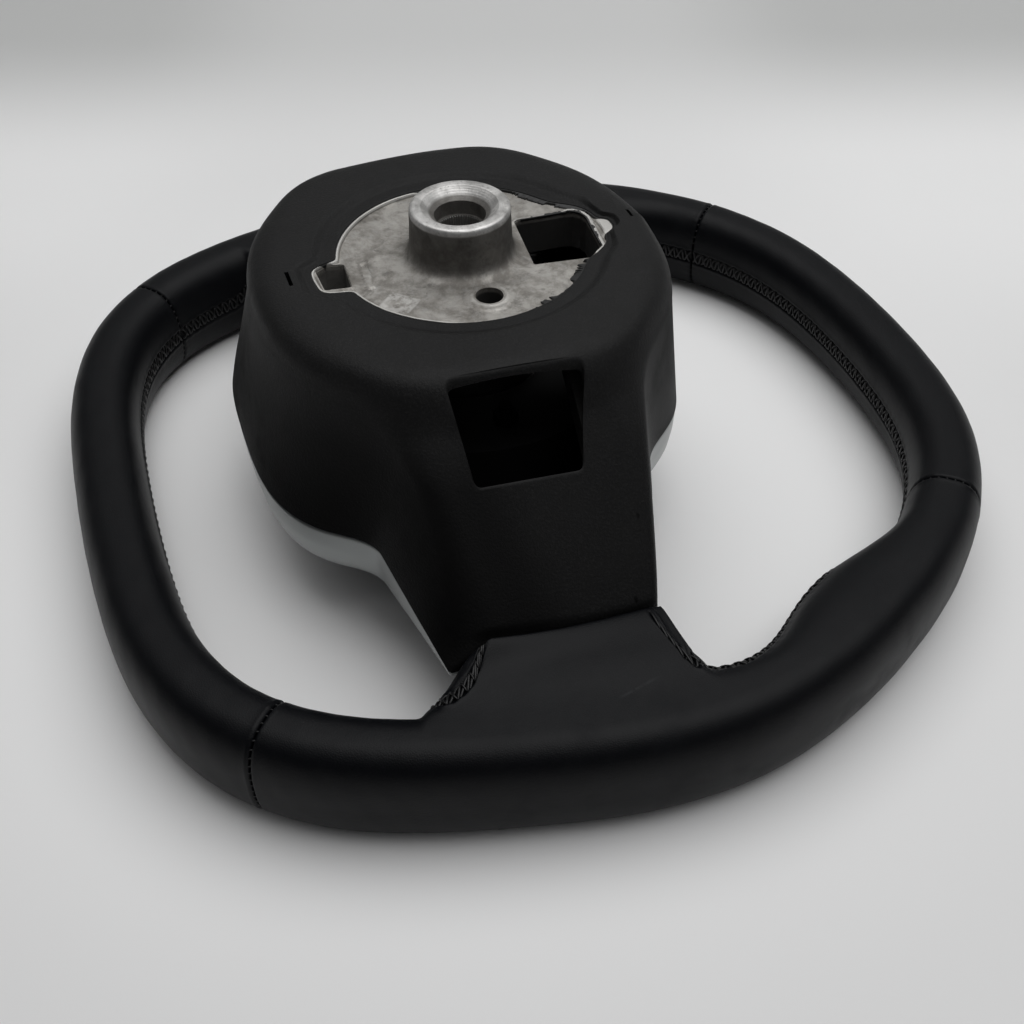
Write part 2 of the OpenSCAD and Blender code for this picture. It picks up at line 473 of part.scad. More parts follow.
module switch_panel_left() { color([0.03, 0.03, 0.033]) both(0) switch_panel(); }
module switch_panel_right() { color([0.03, 0.03, 0.033]) both(1) switch_panel(); }
module switch_case_left() { color([0.12, 0.12, 0.12]) both(0) switch_case(); }
module switch_case_right() { color([0.12, 0.12, 0.12]) both(1) switch_case(); }
module switch_board_left() { color([0.05, 0.25, 0.12]) both(0) switch_board(); }
module switch_board_right() { color([0.05, 0.25, 0.12]) both(1) switch_board(); }
module button_left_upper() { color([0.06, 0.06, 0.065]) both(0) button(0); }
module button_left_lower() { color([0.06, 0.06, 0.065]) both(0) button(1); }
module button_left_side() { color([0.06, 0.06, 0.065]) both(0) button(2); }
module button_right_upper() { color([0.06, 0.06, 0.065]) both(1) button(0); }
module button_right_lower() { color([0.06, 0.06, 0.065]) both(1) button(1); }
module button_right_side() { color([0.06, 0.06, 0.065]) both(1) button(2); }
module roller_left() { color([0.55, 0.56, 0.58]) both(0) roller(); }
module roller_right() { color([0.55, 0.56, 0.58]) both(1) roller(); }
module roller_axle_left() { color([0.75, 0.75, 0.77]) both(0) roller_axle(); }
module roller_axle_right() { color([0.75, 0.75, 0.77]) both(1) roller_axle(); }
module switch_screws() {
    color([0.7, 0.7, 0.72]) for (m = [0, 1]) mirror([m, 0, 0]) for (q = post_at) translate([q[0], q[1], 0]) {
        translate([0, 0, -79.95]) cylinder(r = 2.2, h = 1.6, $fn = 32);
        translate([0, 0, -90.5]) cylinder(r = 1, h = 11.5, $fn = 24);
    }
}

armature();
rim_foam();
leather_top();
leather_bottom();
leather_left();
leather_right();
rear_cover();
front_trim();
cover_screws();
horn_pad();
airbag_housing();
guide_pins();
guide_bushes();
horn_springs();
inflator();
airbag_cushion();
cushion_nuts();
switch_panel_left();
switch_case_left();
switch_board_left();
button_left_upper();
button_left_lower();
button_left_side();
roller_left();
roller_axle_left();
switch_panel_right();
switch_case_right();
switch_board_right();
button_right_upper();
button_right_lower();
button_right_side();
roller_right();
roller_axle_right();
switch_screws();
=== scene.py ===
import json
import math
import bpy
import numpy as np
from mathutils import Matrix, Vector


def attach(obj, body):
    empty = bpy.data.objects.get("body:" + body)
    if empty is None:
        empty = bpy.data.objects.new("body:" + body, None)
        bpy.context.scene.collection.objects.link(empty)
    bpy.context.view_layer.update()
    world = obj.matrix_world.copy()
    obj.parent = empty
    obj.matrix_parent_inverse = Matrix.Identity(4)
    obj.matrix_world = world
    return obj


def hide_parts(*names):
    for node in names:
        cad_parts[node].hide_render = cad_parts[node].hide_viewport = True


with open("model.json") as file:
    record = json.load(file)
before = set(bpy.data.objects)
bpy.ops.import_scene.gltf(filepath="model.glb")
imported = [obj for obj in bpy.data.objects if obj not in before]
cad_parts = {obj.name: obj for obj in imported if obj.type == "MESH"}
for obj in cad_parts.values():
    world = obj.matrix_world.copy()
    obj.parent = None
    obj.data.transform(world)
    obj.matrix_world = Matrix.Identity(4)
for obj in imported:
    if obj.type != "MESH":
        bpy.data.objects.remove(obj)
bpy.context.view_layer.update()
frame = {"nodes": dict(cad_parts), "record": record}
RNG = np.random.default_rng(7)

# ---------------------------------------------------------------- form of the wheel, in mm and degrees
D = math.pi / 180
RIM_R, RIM_SHIFT, RIM_SQ, RIM_A, RIM_N = 169.75, 18.8, 4.3, 13.9, 2.6
RIM_TOP, RIM_BOT, THUMB_H, THUMB_AT = -85.95, -126.9, 11.0, 34.0
COVER_Z, PART_Z, OPEN_R, SLOPE, SPOKE_END, TRIM_Z = -14.0, -76.0, 45.6, 1.3, 124.6, -96.0
RISE, HUB_A, HUB_B = 1.6, 14.0, 13.0
PLATE_Z = -15.5
SEAM_LOW, SEAM_HIGH = -40.5, 56.4


def sn(a): return np.sin(np.asarray(a, float) * D)
def cs(a): return np.cos(np.asarray(a, float) * D)
def clamp(x, a, b): return np.minimum(np.maximum(x, a), b)
def mix(a, b, k): return a + (b - a) * k


def sstep(a, b, x):
    k = clamp((np.asarray(x, float) - a) / (b - a), 0, 1)
    return k * k * (3 - 2 * k)


def smin(a, b, k):
    h = clamp(0.5 + 0.5 * (b - a) / k, 0, 1)
    return mix(b, a, h) - k * h * (1 - h)


def smax(a, b, k): return -smin(-a, -b, k)


def fold(t):
    u = (np.asarray(t, float) + 90) % 360 - 90
    return np.where(u > 90, 180 - u, u)


def rim_rad(t):
    return (RIM_R + RIM_SHIFT * sn(t) + 0.14 * cs(2 * t) - 3.9 * sn(3 * t) - RIM_SQ * cs(4 * t)
            + 1.4 * sn(5 * t) + 0.9 * cs(6 * t) + 1.5 * sn(7 * t))


def rim_xy(t):
    t = np.asarray(t, float)
    r = rim_rad(t)
    return np.stack([r * cs(t), r * sn(t)], -1)


def rim_out(t):
    t = np.asarray(t, float)
    d = rim_xy(t + 0.2) - rim_xy(t - 0.2)
    d = d / np.linalg.norm(d, axis=-1, keepdims=True)
    return np.stack([d[..., 1], -d[..., 0]], -1)


def rim_zt(t): return RIM_TOP + 1.4 * cs(2 * t) - 0.65 * cs(4 * t)
def rim_zb(t): return RIM_BOT - 0.8 * cs(2 * t)


def w_rim(t):
    d = np.abs(fold(t) - THUMB_AT) / 18.5
    return RIM_A + np.where(d < 1, THUMB_H * 0.5 * (1 + cs(180 * np.minimum(d, 1))), 0)


def bow(y): return clamp((24 - y) / 57, 0, 1.25) ** 1.8
def end_x(y, z): return SPOKE_END - 3 * bow(y) * sstep(-88, -81, z)


def w_full(t, b):
    p, n = rim_xy(t), rim_out(t)
    nx = np.maximum(np.abs(n[..., 0]), 0.2)
    w = (np.abs(p[..., 0]) - SPOKE_END - 1) / nx
    return w + 3 * b * bow(p[..., 1] - n[..., 1] * w) / nx


def root_mid(t, d):
    f = fold(t)
    up = clamp(smin(smax(0.17 * (f + 23.6 - d), 0, 0.12) - 0.03, 1, 0.3), 0, 1)
    x = np.maximum(f - 9.85 + d, 0)
    return up * (0.8 * np.exp(-x / 0.5) + 0.2 * np.exp(-x / 5.5))


def root_top(t, d):
    f = fold(t)
    return sstep(-21.5, -14.5, f - d) * np.where(f > 8.15 - d, np.exp(np.minimum(8.15 - d - f, 0) / 0.65), 1)


def w_at(t, k, b): return mix(w_rim(t), np.maximum(w_full(t, b), w_rim(t)), k)


def skin(t, th, off=0.0):
    """Point of the rim's surface: t along the rim, th round its section (0 outside, 90 top)."""
    t, th, off = np.broadcast_arrays(np.asarray(t, float), np.asarray(th, float), np.asarray(off, float))
    p, n = rim_xy(t), rim_out(t)
    c, s = cs(th), sn(th)
    zt, zb = rim_zt(t) - off, rim_zb(t) + off
    zc = (rim_zt(t) + rim_zb(t)) / 2
    k = np.where(c >= 0, 0.0, root_mid(t, off * 0.34))
    m = np.where(c >= 0, RIM_N, RIM_N + 13 * k)
    rho = (np.abs(c) ** m + np.abs(s) ** m) ** (1 / m)
    cx, cz = np.abs(c) / rho, np.abs(s) / rho
    q = cz ** (m / 2)
    w = np.where(c >= 0, RIM_A, mix(w_at(t, root_mid(t, off * 0.34), 0), w_at(t, root_top(t, off * 0.34), 1), sstep(0.1, 0.9, q)))
    x = (w - off) * cx
    g = np.where(c >= 0, 0.0, k * sstep(8, 26, x))
    y = p[..., 1] - n[..., 1] * x
    e = (np.abs(p[..., 0] - n[..., 0] * x) - end_x(y, -84.0)) / 8
    zm = mix(zc, -94.0, g)
    z1, z0 = mix(zt, -84.2 + (0.9 + 4.3 * bow(y)) * np.exp(-e * e) - off, g), mix(zb, -104.0 + off, g)
    z = np.where(s >= 0, zm + (z1 - zm) * cz, zm - (zm - z0) * cz)
    sx = np.where(c >= 0, x, -x)
    return np.stack([p[..., 0] + n[..., 0] * sx, p[..., 1] + n[..., 1] * sx, z], -1)


# ---------------------------------------------------------------- mesh helpers
def make(name, V, Fs, mat, body="wheel", slot=None, replaces=(), sharp=40, smooth=True, stage=False):
    V = np.asarray(V, np.float64) * 0.001
    if isinstance(Fs, np.ndarray):
        Fs = [Fs]
    Fs = [np.asarray(f, np.int32) for f in Fs if len(f)]
    loops = np.concatenate([f.ravel() for f in Fs])
    sizes = np.concatenate([np.full(len(f), f.shape[1], np.int32) for f in Fs])
    starts = np.concatenate([[0], np.cumsum(sizes)[:-1]]).astype(np.int32)
    me = bpy.data.meshes.new(name)
    me.vertices.add(len(V))
    me.vertices.foreach_set("co", V.astype(np.float32).ravel())
    me.loops.add(len(loops))
    me.loops.foreach_set("vertex_index", loops)
    me.polygons.add(len(starts))
    me.polygons.foreach_set("loop_start", starts)
    me.update(calc_edges=True)
    me.validate()
    if smooth:
        me.shade_smooth()
        me.set_sharp_from_angle(angle=math.radians(sharp))
    ob = bpy.data.objects.new(name, me)
    bpy.context.scene.collection.objects.link(ob)
    if mat is not None:
        me.materials.append(mat)
    if stage:
        return ob
    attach(ob, body)
    if replaces:
        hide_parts(*replaces)
    return ob


def grid_faces(n, m, wrap_n=False, wrap_m=False, base=0, flip=False):
    i = np.arange(n if wrap_n else n - 1)[:, None]
    j = np.arange(m if wrap_m else m - 1)[None, :]
    a = i * m + j
    b = i * m + (j + 1) % m
    c = ((i + 1) % n) * m + (j + 1) % m
    d = ((i + 1) % n) * m + j
    f = np.stack([x + 0 * a for x in (a, b, c, d)], -1).reshape(-1, 4) + base
    return f[:, ::-1] if flip else f


def normals_of(P):
    """Unit normals of a grid whose second axis wraps."""
    du = np.gradient(P, axis=0)
    dv = np.roll(P, -1, 1) - np.roll(P, 1, 1)
    n = np.cross(du, dv)
    return n / np.maximum(np.linalg.norm(n, axis=-1, keepdims=True), 1e-9)


def tubes(name, paths, radius, mat, body="wheel", slot=None, sides=6, taper=True, **kw):
    """Round threads along paths of points, closed at both ends."""
    V, F4, F3, base = [], [], [], 0
    for P in paths:
        P = np.asarray(P, float)
        n = len(P)
        T = np.gradient(P, axis=0)
        T /= np.linalg.norm(T, axis=1, keepdims=True)
        ref = np.array([0.0, 0.0, 1.0]) if abs(T[0, 2]) < 0.8 else np.array([1.0, 0.0, 0.0])
        U = np.cross(T, ref)
        U /= np.linalg.norm(U, axis=1, keepdims=True)
        W = np.cross(T, U)
        a = np.arange(sides) * 2 * math.pi / sides
        r = np.full(n, radius)
        ring = P[:, None] + r[:, None, None] * (U[:, None] * np.cos(a)[None, :, None] + W[:, None] * np.sin(a)[None, :, None])
        V.append(ring.reshape(-1, 3))
        F4.append(grid_faces(n, sides, wrap_m=True, base=base))
        V.append(P[[0, -1]])
        c0, c1 = base + n * sides, base + n * sides + 1
        j = np.arange(sides)
        F3.append(np.stack([np.full(sides, c0), base + (j + 1) % sides, base + j], -1))
        o = base + (n - 1) * sides
        F3.append(np.stack([np.full(sides, c1), o + j, o + (j + 1) % sides], -1))
        base += n * sides + 2
    return make(name, np.concatenate(V), [np.concatenate(F4), np.concatenate(F3)], mat, body=body, slot=slot, sharp=80, **kw)


def mirror_x(V): return np.asarray(V) * np.array([-1.0, 1.0, 1.0])


# ---------------------------------------------------------------- materials
class Mat:
    """A procedural material, written as a short list of nodes."""

    def __init__(self, name):
        self.m = bpy.data.materials.new(name)
        self.m.use_nodes = True
        self.t = self.m.node_tree
        self.bsdf = next(n for n in self.t.nodes if n.type == "BSDF_PRINCIPLED")
        self.co = self.t.nodes.new("ShaderNodeTexCoord").outputs["Object"]

    def put(self, sock, v):
        if v is None:
            return
        if isinstance(v, bpy.types.NodeSocket):
            self.t.links.new(v, sock)
        elif isinstance(v, (tuple, list)) and sock.type == "RGBA" and len(v) == 3:
            sock.default_value = (*v, 1)
        else:
            sock.default_value = v

    def add(self, kind, out=0, props=(), **ins):
        n = self.t.nodes.new(kind)
        for k, v in dict(props).items():
            setattr(n, k, v)
        for k, v in ins.items():
            self.put(n.inputs[int(k[1:])] if k[0] == "i" and k[1:].isdigit() else n.inputs[k.replace("_", " ")], v)
        return n.outputs[out]

    def math(self, op, a, b=0.0, c=None):
        n = self.t.nodes.new("ShaderNodeMath")
        n.operation = op
        self.put(n.inputs[0], a)
        self.put(n.inputs[1], b)
        if c is not None:
            self.put(n.inputs[2], c)
        return n.outputs[0]

    def noise(self, scale, detail=3.0, rough=0.55, vec=None, distort=0.0):
        return self.add("ShaderNodeTexNoise", Vector=vec or self.co, Scale=scale, Detail=detail, Roughness=rough, Distortion=distort)

    def cells(self, scale, feature="F1", vec=None, rand=1.0):
        return self.add("ShaderNodeTexVoronoi", props={"feature": feature}, Vector=vec or self.co, Scale=scale, Randomness=rand)

    def ramp(self, fac, *stops):
        n = self.t.nodes.new("ShaderNodeValToRGB")
        e = n.color_ramp.elements
        while len(e) > 1:
            e.remove(e[-1])
        e[0].position, e[0].color = stops[0][0], self.rgba(stops[0][1])
        for p, c in stops[1:]:
            x = e.new(p)
            x.color = self.rgba(c)
        self.put(n.inputs[0], fac)
        return n.outputs[0]

    @staticmethod
    def rgba(c): return (c, c, c, 1) if isinstance(c, (int, float)) else (*c, 1)

    def blend(self, fac, a, b):
        n = self.t.nodes.new("ShaderNodeMix")
        n.data_type = "RGBA"
        self.put(n.inputs[0], fac)
        self.put(n.inputs[6], a if not isinstance(a, (tuple, list)) else (*a, 1))
        self.put(n.inputs[7], b if not isinstance(b, (tuple, list)) else (*b, 1))
        return n.outputs[2]

    def lerp(self, fac, a, b):
        n = self.t.nodes.new("ShaderNodeMix")
        n.data_type = "FLOAT"
        self.put(n.inputs[0], fac)
        self.put(n.inputs[2], a)
        self.put(n.inputs[3], b)
        return n.outputs[0]

    def bump(self, height, strength, dist, normal=None):
        return self.add("ShaderNodeBump", Height=height, Strength=strength, Distance=dist, Normal=normal)

    def xyz(self):
        n = self.t.nodes.new("ShaderNodeSeparateXYZ")
        self.put(n.inputs[0], self.co)
        return n.outputs

    def radius(self, cx=0.0, cy=0.0):
        x, y, _ = self.xyz()
        x, y = self.math("SUBTRACT", x, cx), self.math("SUBTRACT", y, cy)
        return self.math("SQRT", self.math("ADD", self.math("MULTIPLY", x, x), self.math("MULTIPLY", y, y)))

    def soft(self, v, a, b):
        """0 below a, 1 above b."""
        n = self.t.nodes.new("ShaderNodeMapRange")
        n.interpolation_type = "SMOOTHSTEP"
        for i, x in enumerate((v, a, b, 0.0, 1.0)):
            self.put(n.inputs[i], x)
        return n.outputs[0]

    def done(self, color, rough=0.5, metal=0.0, normal=None, spec=0.5, coat=0.0, coat_rough=0.1, sheen=0.0):
        b = self.bsdf
        self.put(b.inputs["Base Color"], color)
        self.put(b.inputs["Roughness"], rough)
        self.put(b.inputs["Metallic"], metal)
        self.put(b.inputs["Normal"], normal)
        b.inputs["Specular IOR Level"].default_value = spec
        b.inputs["Coat Weight"].default_value = coat
        b.inputs["Coat Roughness"].default_value = coat_rough
        b.inputs["Sheen Weight"].default_value = sheen
        return self.m


def leather_mat():
    m = Mat("leather_black")
    big = m.noise(28, 3)
    cell = m.cells(1250, "DISTANCE_TO_EDGE")
    fine = m.noise(3200, 1, 0.6)
    h = m.math("ADD", m.math("MULTIPLY", m.ramp(cell, (0.0, 0.0), (0.28, 1.0)), 0.75), m.math("MULTIPLY", fine, 0.5))
    nrm = m.bump(h, 0.32, 0.00012)
    nrm = m.bump(m.noise(70, 2, 0.55), 0.16, 0.0012, nrm)
    wear = m.soft(m.noise(45, 3, 0.65), 0.52, 0.72)
    col = m.blend(m.math("MULTIPLY", wear, 0.4), (0.0014, 0.0017, 0.0027), (0.0030, 0.0034, 0.0046))
    # one faint pale crease on the near root
    x, y, _ = m.xyz()
    dx, dy = m.math("SUBTRACT", x, 0.15768), m.math("ADD", y, 0.00183)
    across = m.math("ABSOLUTE", m.math("ADD", m.math("MULTIPLY", dx, 0.9738), m.math("MULTIPLY", dy, 0.2276)))
    along = m.math("ADD", m.math("MULTIPLY", dx, -0.2276), m.math("MULTIPLY", dy, 0.9738))
    line = m.math("MULTIPLY", m.math("MULTIPLY", m.soft(across, 0.0007, 0.0001), m.soft(along, -0.001, 0.003)), m.math("MULTIPLY", m.soft(along, 0.0175, 0.012), m.soft(m.noise(500, 3), 0.3, 0.5)))
    col = m.blend(m.math("MULTIPLY", line, 0.45), col, (0.020, 0.021, 0.023))
    rough = m.lerp(wear, m.lerp(big, 0.40, 0.50), 0.52)
    return m.done(col, rough, 0.0, nrm, spec=0.16, coat=0.0)


def cover_mat():
    m = Mat("cover_black_grain")
    coarse = m.noise(1150, 3, 0.7)
    nrm = m.bump(coarse, 0.6, 0.0004)
    speck = m.soft(m.noise(2600, 2, 0.5), 0.60, 0.74)
    dust = m.soft(m.noise(36, 5, 0.65), 0.45, 0.75)
    col = m.blend(m.math("MULTIPLY", speck, 0.6), (0.0080, 0.0080, 0.0082), (0.026, 0.026, 0.0262))
    col = m.blend(m.math("MULTIPLY", m.soft(coarse, 0.50, 0.66), 0.5), col, (0.0205, 0.0205, 0.0208))
    col = m.blend(m.math("MULTIPLY", dust, 0.25), col, (0.013, 0.0129, 0.0127))
    for cx, cy, rr in ((0.12323, 0.01922, 0.0006), (0.10664, 0.02582, 0.0005)):
        col = m.blend(m.soft(m.radius(cx, cy), rr + 0.0003, rr - 0.0001), col, (0.001, 0.001, 0.001))
    x, y, z = m.xyz()
    # painted shade: the lower part of the cover's wall on the -Y side is painted darker, as the shade that falls on
    # that side
    painted_shade_low_wall = m.math("MULTIPLY", m.soft(m.math("SUBTRACT", y, m.math("MULTIPLY", x, 0.35)), -0.040, -0.062), m.soft(z, -0.028, -0.045))
    col = m.blend(m.math("MULTIPLY", painted_shade_low_wall, 0.85), col, (0.0008, 0.0008, 0.0009))
    rough = m.lerp(dust, 0.52, 0.64)
    return m.done(col, rough, 0.0, nrm, spec=0.17)


def plain(name, color, rough, metal=0.0, scale=60, amount=0.25, bump=0.08, dist=0.0002, bscale=900, spec=0.5, coat=0.0, sheen=0.0):
    m = Mat(name)
    v = m.noise(scale, 4)
    dark = tuple(c * (1 - amount) for c in color)
    light = tuple(min(1, c * (1 + amount)) for c in color)
    nrm = m.bump(m.noise(bscale, 3), bump, dist)
    return m.done(m.blend(v, dark, light), m.lerp(v, max(0.05, rough - 0.07), min(1, rough + 0.07)), metal, nrm, spec=spec, coat=coat, sheen=sheen)


def casting_mat():
    m = Mat("casting_mottled")
    x, y, z = m.xyz()
    r = m.radius()
    stain = m.noise(95, 7, 0.68, distort=0.25)
    blot = m.noise(310, 6, 0.68)
    fine = m.noise(1300, 4, 0.65)
    k = m.soft(stain, 0.36, 0.66)
    col = m.blend(k, (0.200, 0.188, 0.170), (0.425, 0.410, 0.384))
    col = m.blend(m.math("MULTIPLY", m.soft(blot, 0.5, 0.7), 0.5), col, (0.385, 0.38, 0.366))
    col = m.blend(m.math("MULTIPLY", m.soft(m.noise(170, 6, 0.7, distort=0.3), 0.55, 0.68), 0.5), col, (0.085, 0.078, 0.070))
    # rubbed bare patch on the plate
    dx, dy = m.math("SUBTRACT", x, 0.0240), m.math("SUBTRACT", y, -0.0305)
    px = m.soft(m.math("ABSOLUTE", m.math("ADD", dx, dy)), 0.0074, 0.0086)
    py = m.soft(m.math("ABSOLUTE", m.math("SUBTRACT", dx, dy)), 0.0074, 0.0086)
    patch = m.math("SUBTRACT", 1.0, m.math("MAXIMUM", px, py))
    patch = m.math("MULTIPLY", patch, m.soft(m.noise(420, 3), 0.34, 0.6))
    col = m.blend(m.math("MULTIPLY", patch, 0.72), col, (0.56, 0.55, 0.53))
    # painted shade: the boss's upright side is painted darker; its rim and chamfer are machined and worn
    side = m.math("MULTIPLY", m.soft(r, 0.0215, 0.0192), m.math("MULTIPLY", m.soft(z, -0.0150, -0.0105), m.soft(z, 0.0034, 0.0022)))
    col = m.blend(m.math("MULTIPLY", side, 0.62), col, (0.080, 0.077, 0.073))
    mach = m.math("MULTIPLY", m.soft(z, 0.0012, 0.0022), m.soft(r, 0.0192, 0.0184))
    lip = m.math("MULTIPLY", m.soft(z, -0.01505, -0.01475), m.math("MULTIPLY", m.soft(r, 0.027, 0.029), m.soft(z, -0.0120, -0.0135)))
    ring = m.math("MULTIPLY", m.soft(z, 0.0037, 0.0039), mach)
    turned = m.add("ShaderNodeTexWave", props={"wave_type": "RINGS", "rings_direction": "Z"}, Vector=m.co, Scale=420.0, Distortion=1.2, Detail=2.0)
    bright = m.blend(m.soft(m.noise(160, 4), 0.35, 0.65), (0.42, 0.415, 0.405), (0.74, 0.73, 0.715))
    col = m.blend(m.math("MULTIPLY", mach, 0.9), col, bright)
    col = m.blend(m.math("MULTIPLY", m.math("MULTIPLY", mach, m.soft(m.noise(900, 3, 0.7), 0.55, 0.7)), 0.5), col, (0.20, 0.195, 0.19))
    col = m.blend(m.math("MULTIPLY", lip, 0.75), col, (0.66, 0.65, 0.625))
    deep = m.soft(z, -0.017, -0.022)
    col = m.blend(m.math("MULTIPLY", deep, 0.55), col, (0.30, 0.295, 0.285))
    coat = m.soft(m.math("ABSOLUTE", x), 0.106, 0.110)
    # painted shade: the casting below the plate and outside r 23.5 mm, seen through the openings, is painted nearly
    # black, less so below y -42 mm
    inside = m.math("MULTIPLY", m.math("MULTIPLY", m.soft(z, -0.0163, -0.0176), m.soft(r, 0.0215, 0.0235)), m.math("SUBTRACT", 1.0, m.math("MULTIPLY", m.soft(y, -0.040, -0.042), 0.45)))
    col = m.blend(m.math("MULTIPLY", inside, 0.93), col, (0.012, 0.012, 0.012))
    col = m.blend(coat, col, (0.01, 0.01, 0.01))
    rough = m.lerp(k, 0.62, 0.46)
    rough = m.lerp(mach, rough, 0.47)
    rough = m.lerp(ring, rough, 0.40)
    # not metallic where the painted shade or the coat lies
    metal = m.math("MULTIPLY", m.math("SUBTRACT", 1.0, m.math("MAXIMUM", coat, inside)), 0.62)
    nrm = m.bump(m.math("ADD", m.math("MULTIPLY", fine, 0.6), m.math("MULTIPLY", blot, 0.9)), 0.42, 0.00035)
    nrm = m.bump(m.math("MULTIPLY", turned, m.math("MAXIMUM", mach, m.math("MULTIPLY", side, 0.6))), 0.22, 0.00012, nrm)
    return m.done(col, rough, metal, nrm, spec=0.5)


def trim_mat():
    m = Mat("trim_satin_silver")
    v = m.noise(40, 4)
    nrm = m.bump(m.noise(2600, 2), 0.10, 0.0001)
    return m.done(m.blend(v, (0.285, 0.30, 0.30), (0.35, 0.365, 0.362)), m.lerp(v, 0.30, 0.38), 0.75, nrm, spec=0.5)


M = {
    "leather": leather_mat(),
    "cover_plastic": cover_mat(),
    "trim_silver": trim_mat(),
    "cast_alloy": casting_mat(),
    "foam": plain("foam_black", (0.022, 0.022, 0.022), 0.9, bump=0.6, dist=0.0004, bscale=1500, spec=0.2),
    "zinc_steel": plain("zinc_plated", (0.56, 0.56, 0.57), 0.32, 0.95),
    "natural_plastic": plain("acetal_natural", (0.66, 0.64, 0.57), 0.5, 0.0, amount=0.06),
    "spring_steel": plain("spring_wire", (0.33, 0.33, 0.34), 0.36, 0.95),
    "pad_plastic": plain("pad_soft_touch", (0.017, 0.017, 0.018), 0.56, amount=0.12, bump=0.4, dist=0.00018, bscale=1700, spec=0.45),
    "housing_steel": plain("coated_sheet", (0.010, 0.010, 0.0105), 0.62, 0.0, spec=0.12),
    "inflator_steel": plain("turned_steel", (0.48, 0.48, 0.49), 0.34, 0.95),
    "cushion_fabric": plain("woven_nylon", (0.62, 0.62, 0.59), 0.85, amount=0.08, bump=0.5, dist=0.0003, bscale=1400, sheen=0.2),
    "panel_gloss": plain("gloss_black", (0.010, 0.010, 0.011), 0.16, amount=0.1, bump=0.02, coat=0.3),
    "case_plastic": plain("case_moulded", (0.009, 0.009, 0.009), 0.7, spec=0.15),
    "board": plain("board_green", (0.02, 0.085, 0.038), 0.4),
    "button_plastic": plain("button_satin", (0.019, 0.019, 0.020), 0.45, amount=0.1, bump=0.25, bscale=1800, dist=0.0001),
    "roller_satin": plain("roller_silver", (0.46, 0.47, 0.49), 0.34, 0.8),
}
M["tooth"] = plain("tooth_worn", (0.34, 0.335, 0.325), 0.42, 0.8, amount=0.3)
M["thread"] = plain("thread_black", (0.0035, 0.0035, 0.004), 0.42, spec=0.4, amount=0.2, bump=0.5, dist=0.0001, bscale=2500)
M["screw_dark"] = plain("screw_black", (0.005, 0.005, 0.005), 0.7, spec=0.08)
M["print"] = plain("symbol_pale", (0.55, 0.56, 0.57), 0.5, amount=0.05)
M["flash"] = plain("flash_black", (0.012, 0.012, 0.012), 0.55, amount=0.3, bump=0.5, dist=0.0003, bscale=700)

SLOT = {s["node"]: s["material_slot"] for s in frame["record"]["subparts"]}
for node, ob in frame["nodes"].items():
    ob.data.materials.clear()
    ob.data.materials.append(M["screw_dark" if node in ("switch_screws", "cushion_nuts") else SLOT[node]])

# ---------------------------------------------------------------- leather
# line of the lacing round the section, for each station
LACE = [(-40.5, 180), (-27.5, 180), (-25.6, 174), (-24.2, 160), (-23.0, 148), (-21.9, 141.5), (-20.6, 136.5), (-19.1, 131.5), (-17.9, 128.5), (-17.0, 128.5),
        (-16.4, 130.5), (-16.0, 132.5), (-15.2, 136), (-12, 137), (5, 137), (6.6, 136), (7.3, 131), (7.7, 126), (8.0, 121.5), (8.35, 122), (8.7, 126.5),
        (9.5, 133), (10.2, 136), (10.9, 138), (12.2, 138.5), (13.2, 136.5), (14.4, 134), (15.8, 134.5), (18, 138.5), (20.6, 143.5), (23.6, 150), (26.6, 155),
        (29, 155.5), (31.3, 153), (33.2, 150.5), (35.1, 151), (36.5, 155), (38.5, 163), (41, 172), (45, 178), (49, 180), (56.4, 180)]
LACE_T = np.array([a for a, _ in LACE], float)
LACE_A = np.array([b for _, b in LACE], float)
PITCH = 4.4


def lace_at(t): return np.interp(t, LACE_T, LACE_A, left=180, right=180)


def lace_on(t):
    """1 where the lacing runs, 0 across the root between its two corners."""
    f = fold(t)
    return 1 - sstep(-15.7, -15.1, f) * (1 - sstep(6.9, 7.4, f))


def stations(a, b, step):
    """Stations from a to b, close enough that no line on the surface jumps more than step."""
    t = np.linspace(a, b, 6000)
    mv = np.zeros(len(t) - 1)
    for th in (0, 90, 120, 150, 180):
        P = skin(t, th)
        mv = np.maximum(mv, np.linalg.norm(np.diff(P, axis=0), axis=1))
    s = np.concatenate([[0], np.cumsum(mv)])
    L = s[-1]
    n = int(L / step)
    inner = np.linspace(0, L, n + 1)
    ends = np.array([0, 0.12, 0.25, 0.4, 0.6, 0.85, 1.15, 1.5, 1.9, 2.5])
    q = np.unique(np.concatenate([inner[(inner > 3.2) & (inner < L - 3.2)], ends, L - ends]))
    return np.interp(q, s, t)


NC = 150
half = np.linspace(-1, 1, NC, endpoint=False)
COLS = 180 * (0.42 * half + 0.58 * np.sign(half) * np.abs(half) ** 2.6)   # angle from the lacing line


def panel(a, b, step):
    """Grids of one leather panel: stations, plain surface, normals, distance from the lacing, length along it."""
    t = stations(a, b, step)
    th = lace_at(t)[:, None] + COLS[None, :]
    P = skin(t[:, None], th)
    N = normals_of(P)
    seg = np.linalg.norm(np.diff(P, axis=1), axis=2)
    cum = np.concatenate([np.zeros((len(t), 1)), np.cumsum(seg, 1)], 1)
    mid = NC // 2
    d = cum - cum[:, mid:mid + 1]
    along = np.concatenate([[0], np.cumsum(np.linalg.norm(np.diff(P[:, mid], axis=0), axis=1))])
    # distance to the nearer end, measured along each column
    step_len = np.linalg.norm(np.diff(P, axis=0), axis=2)
    run = np.concatenate([np.zeros((1, NC)), np.cumsum(step_len, 0)], 0)
    edge = np.minimum(run, run[-1:] - run)
    first = run < run[-1:] - run
    return t, P, N, d, along, edge, first


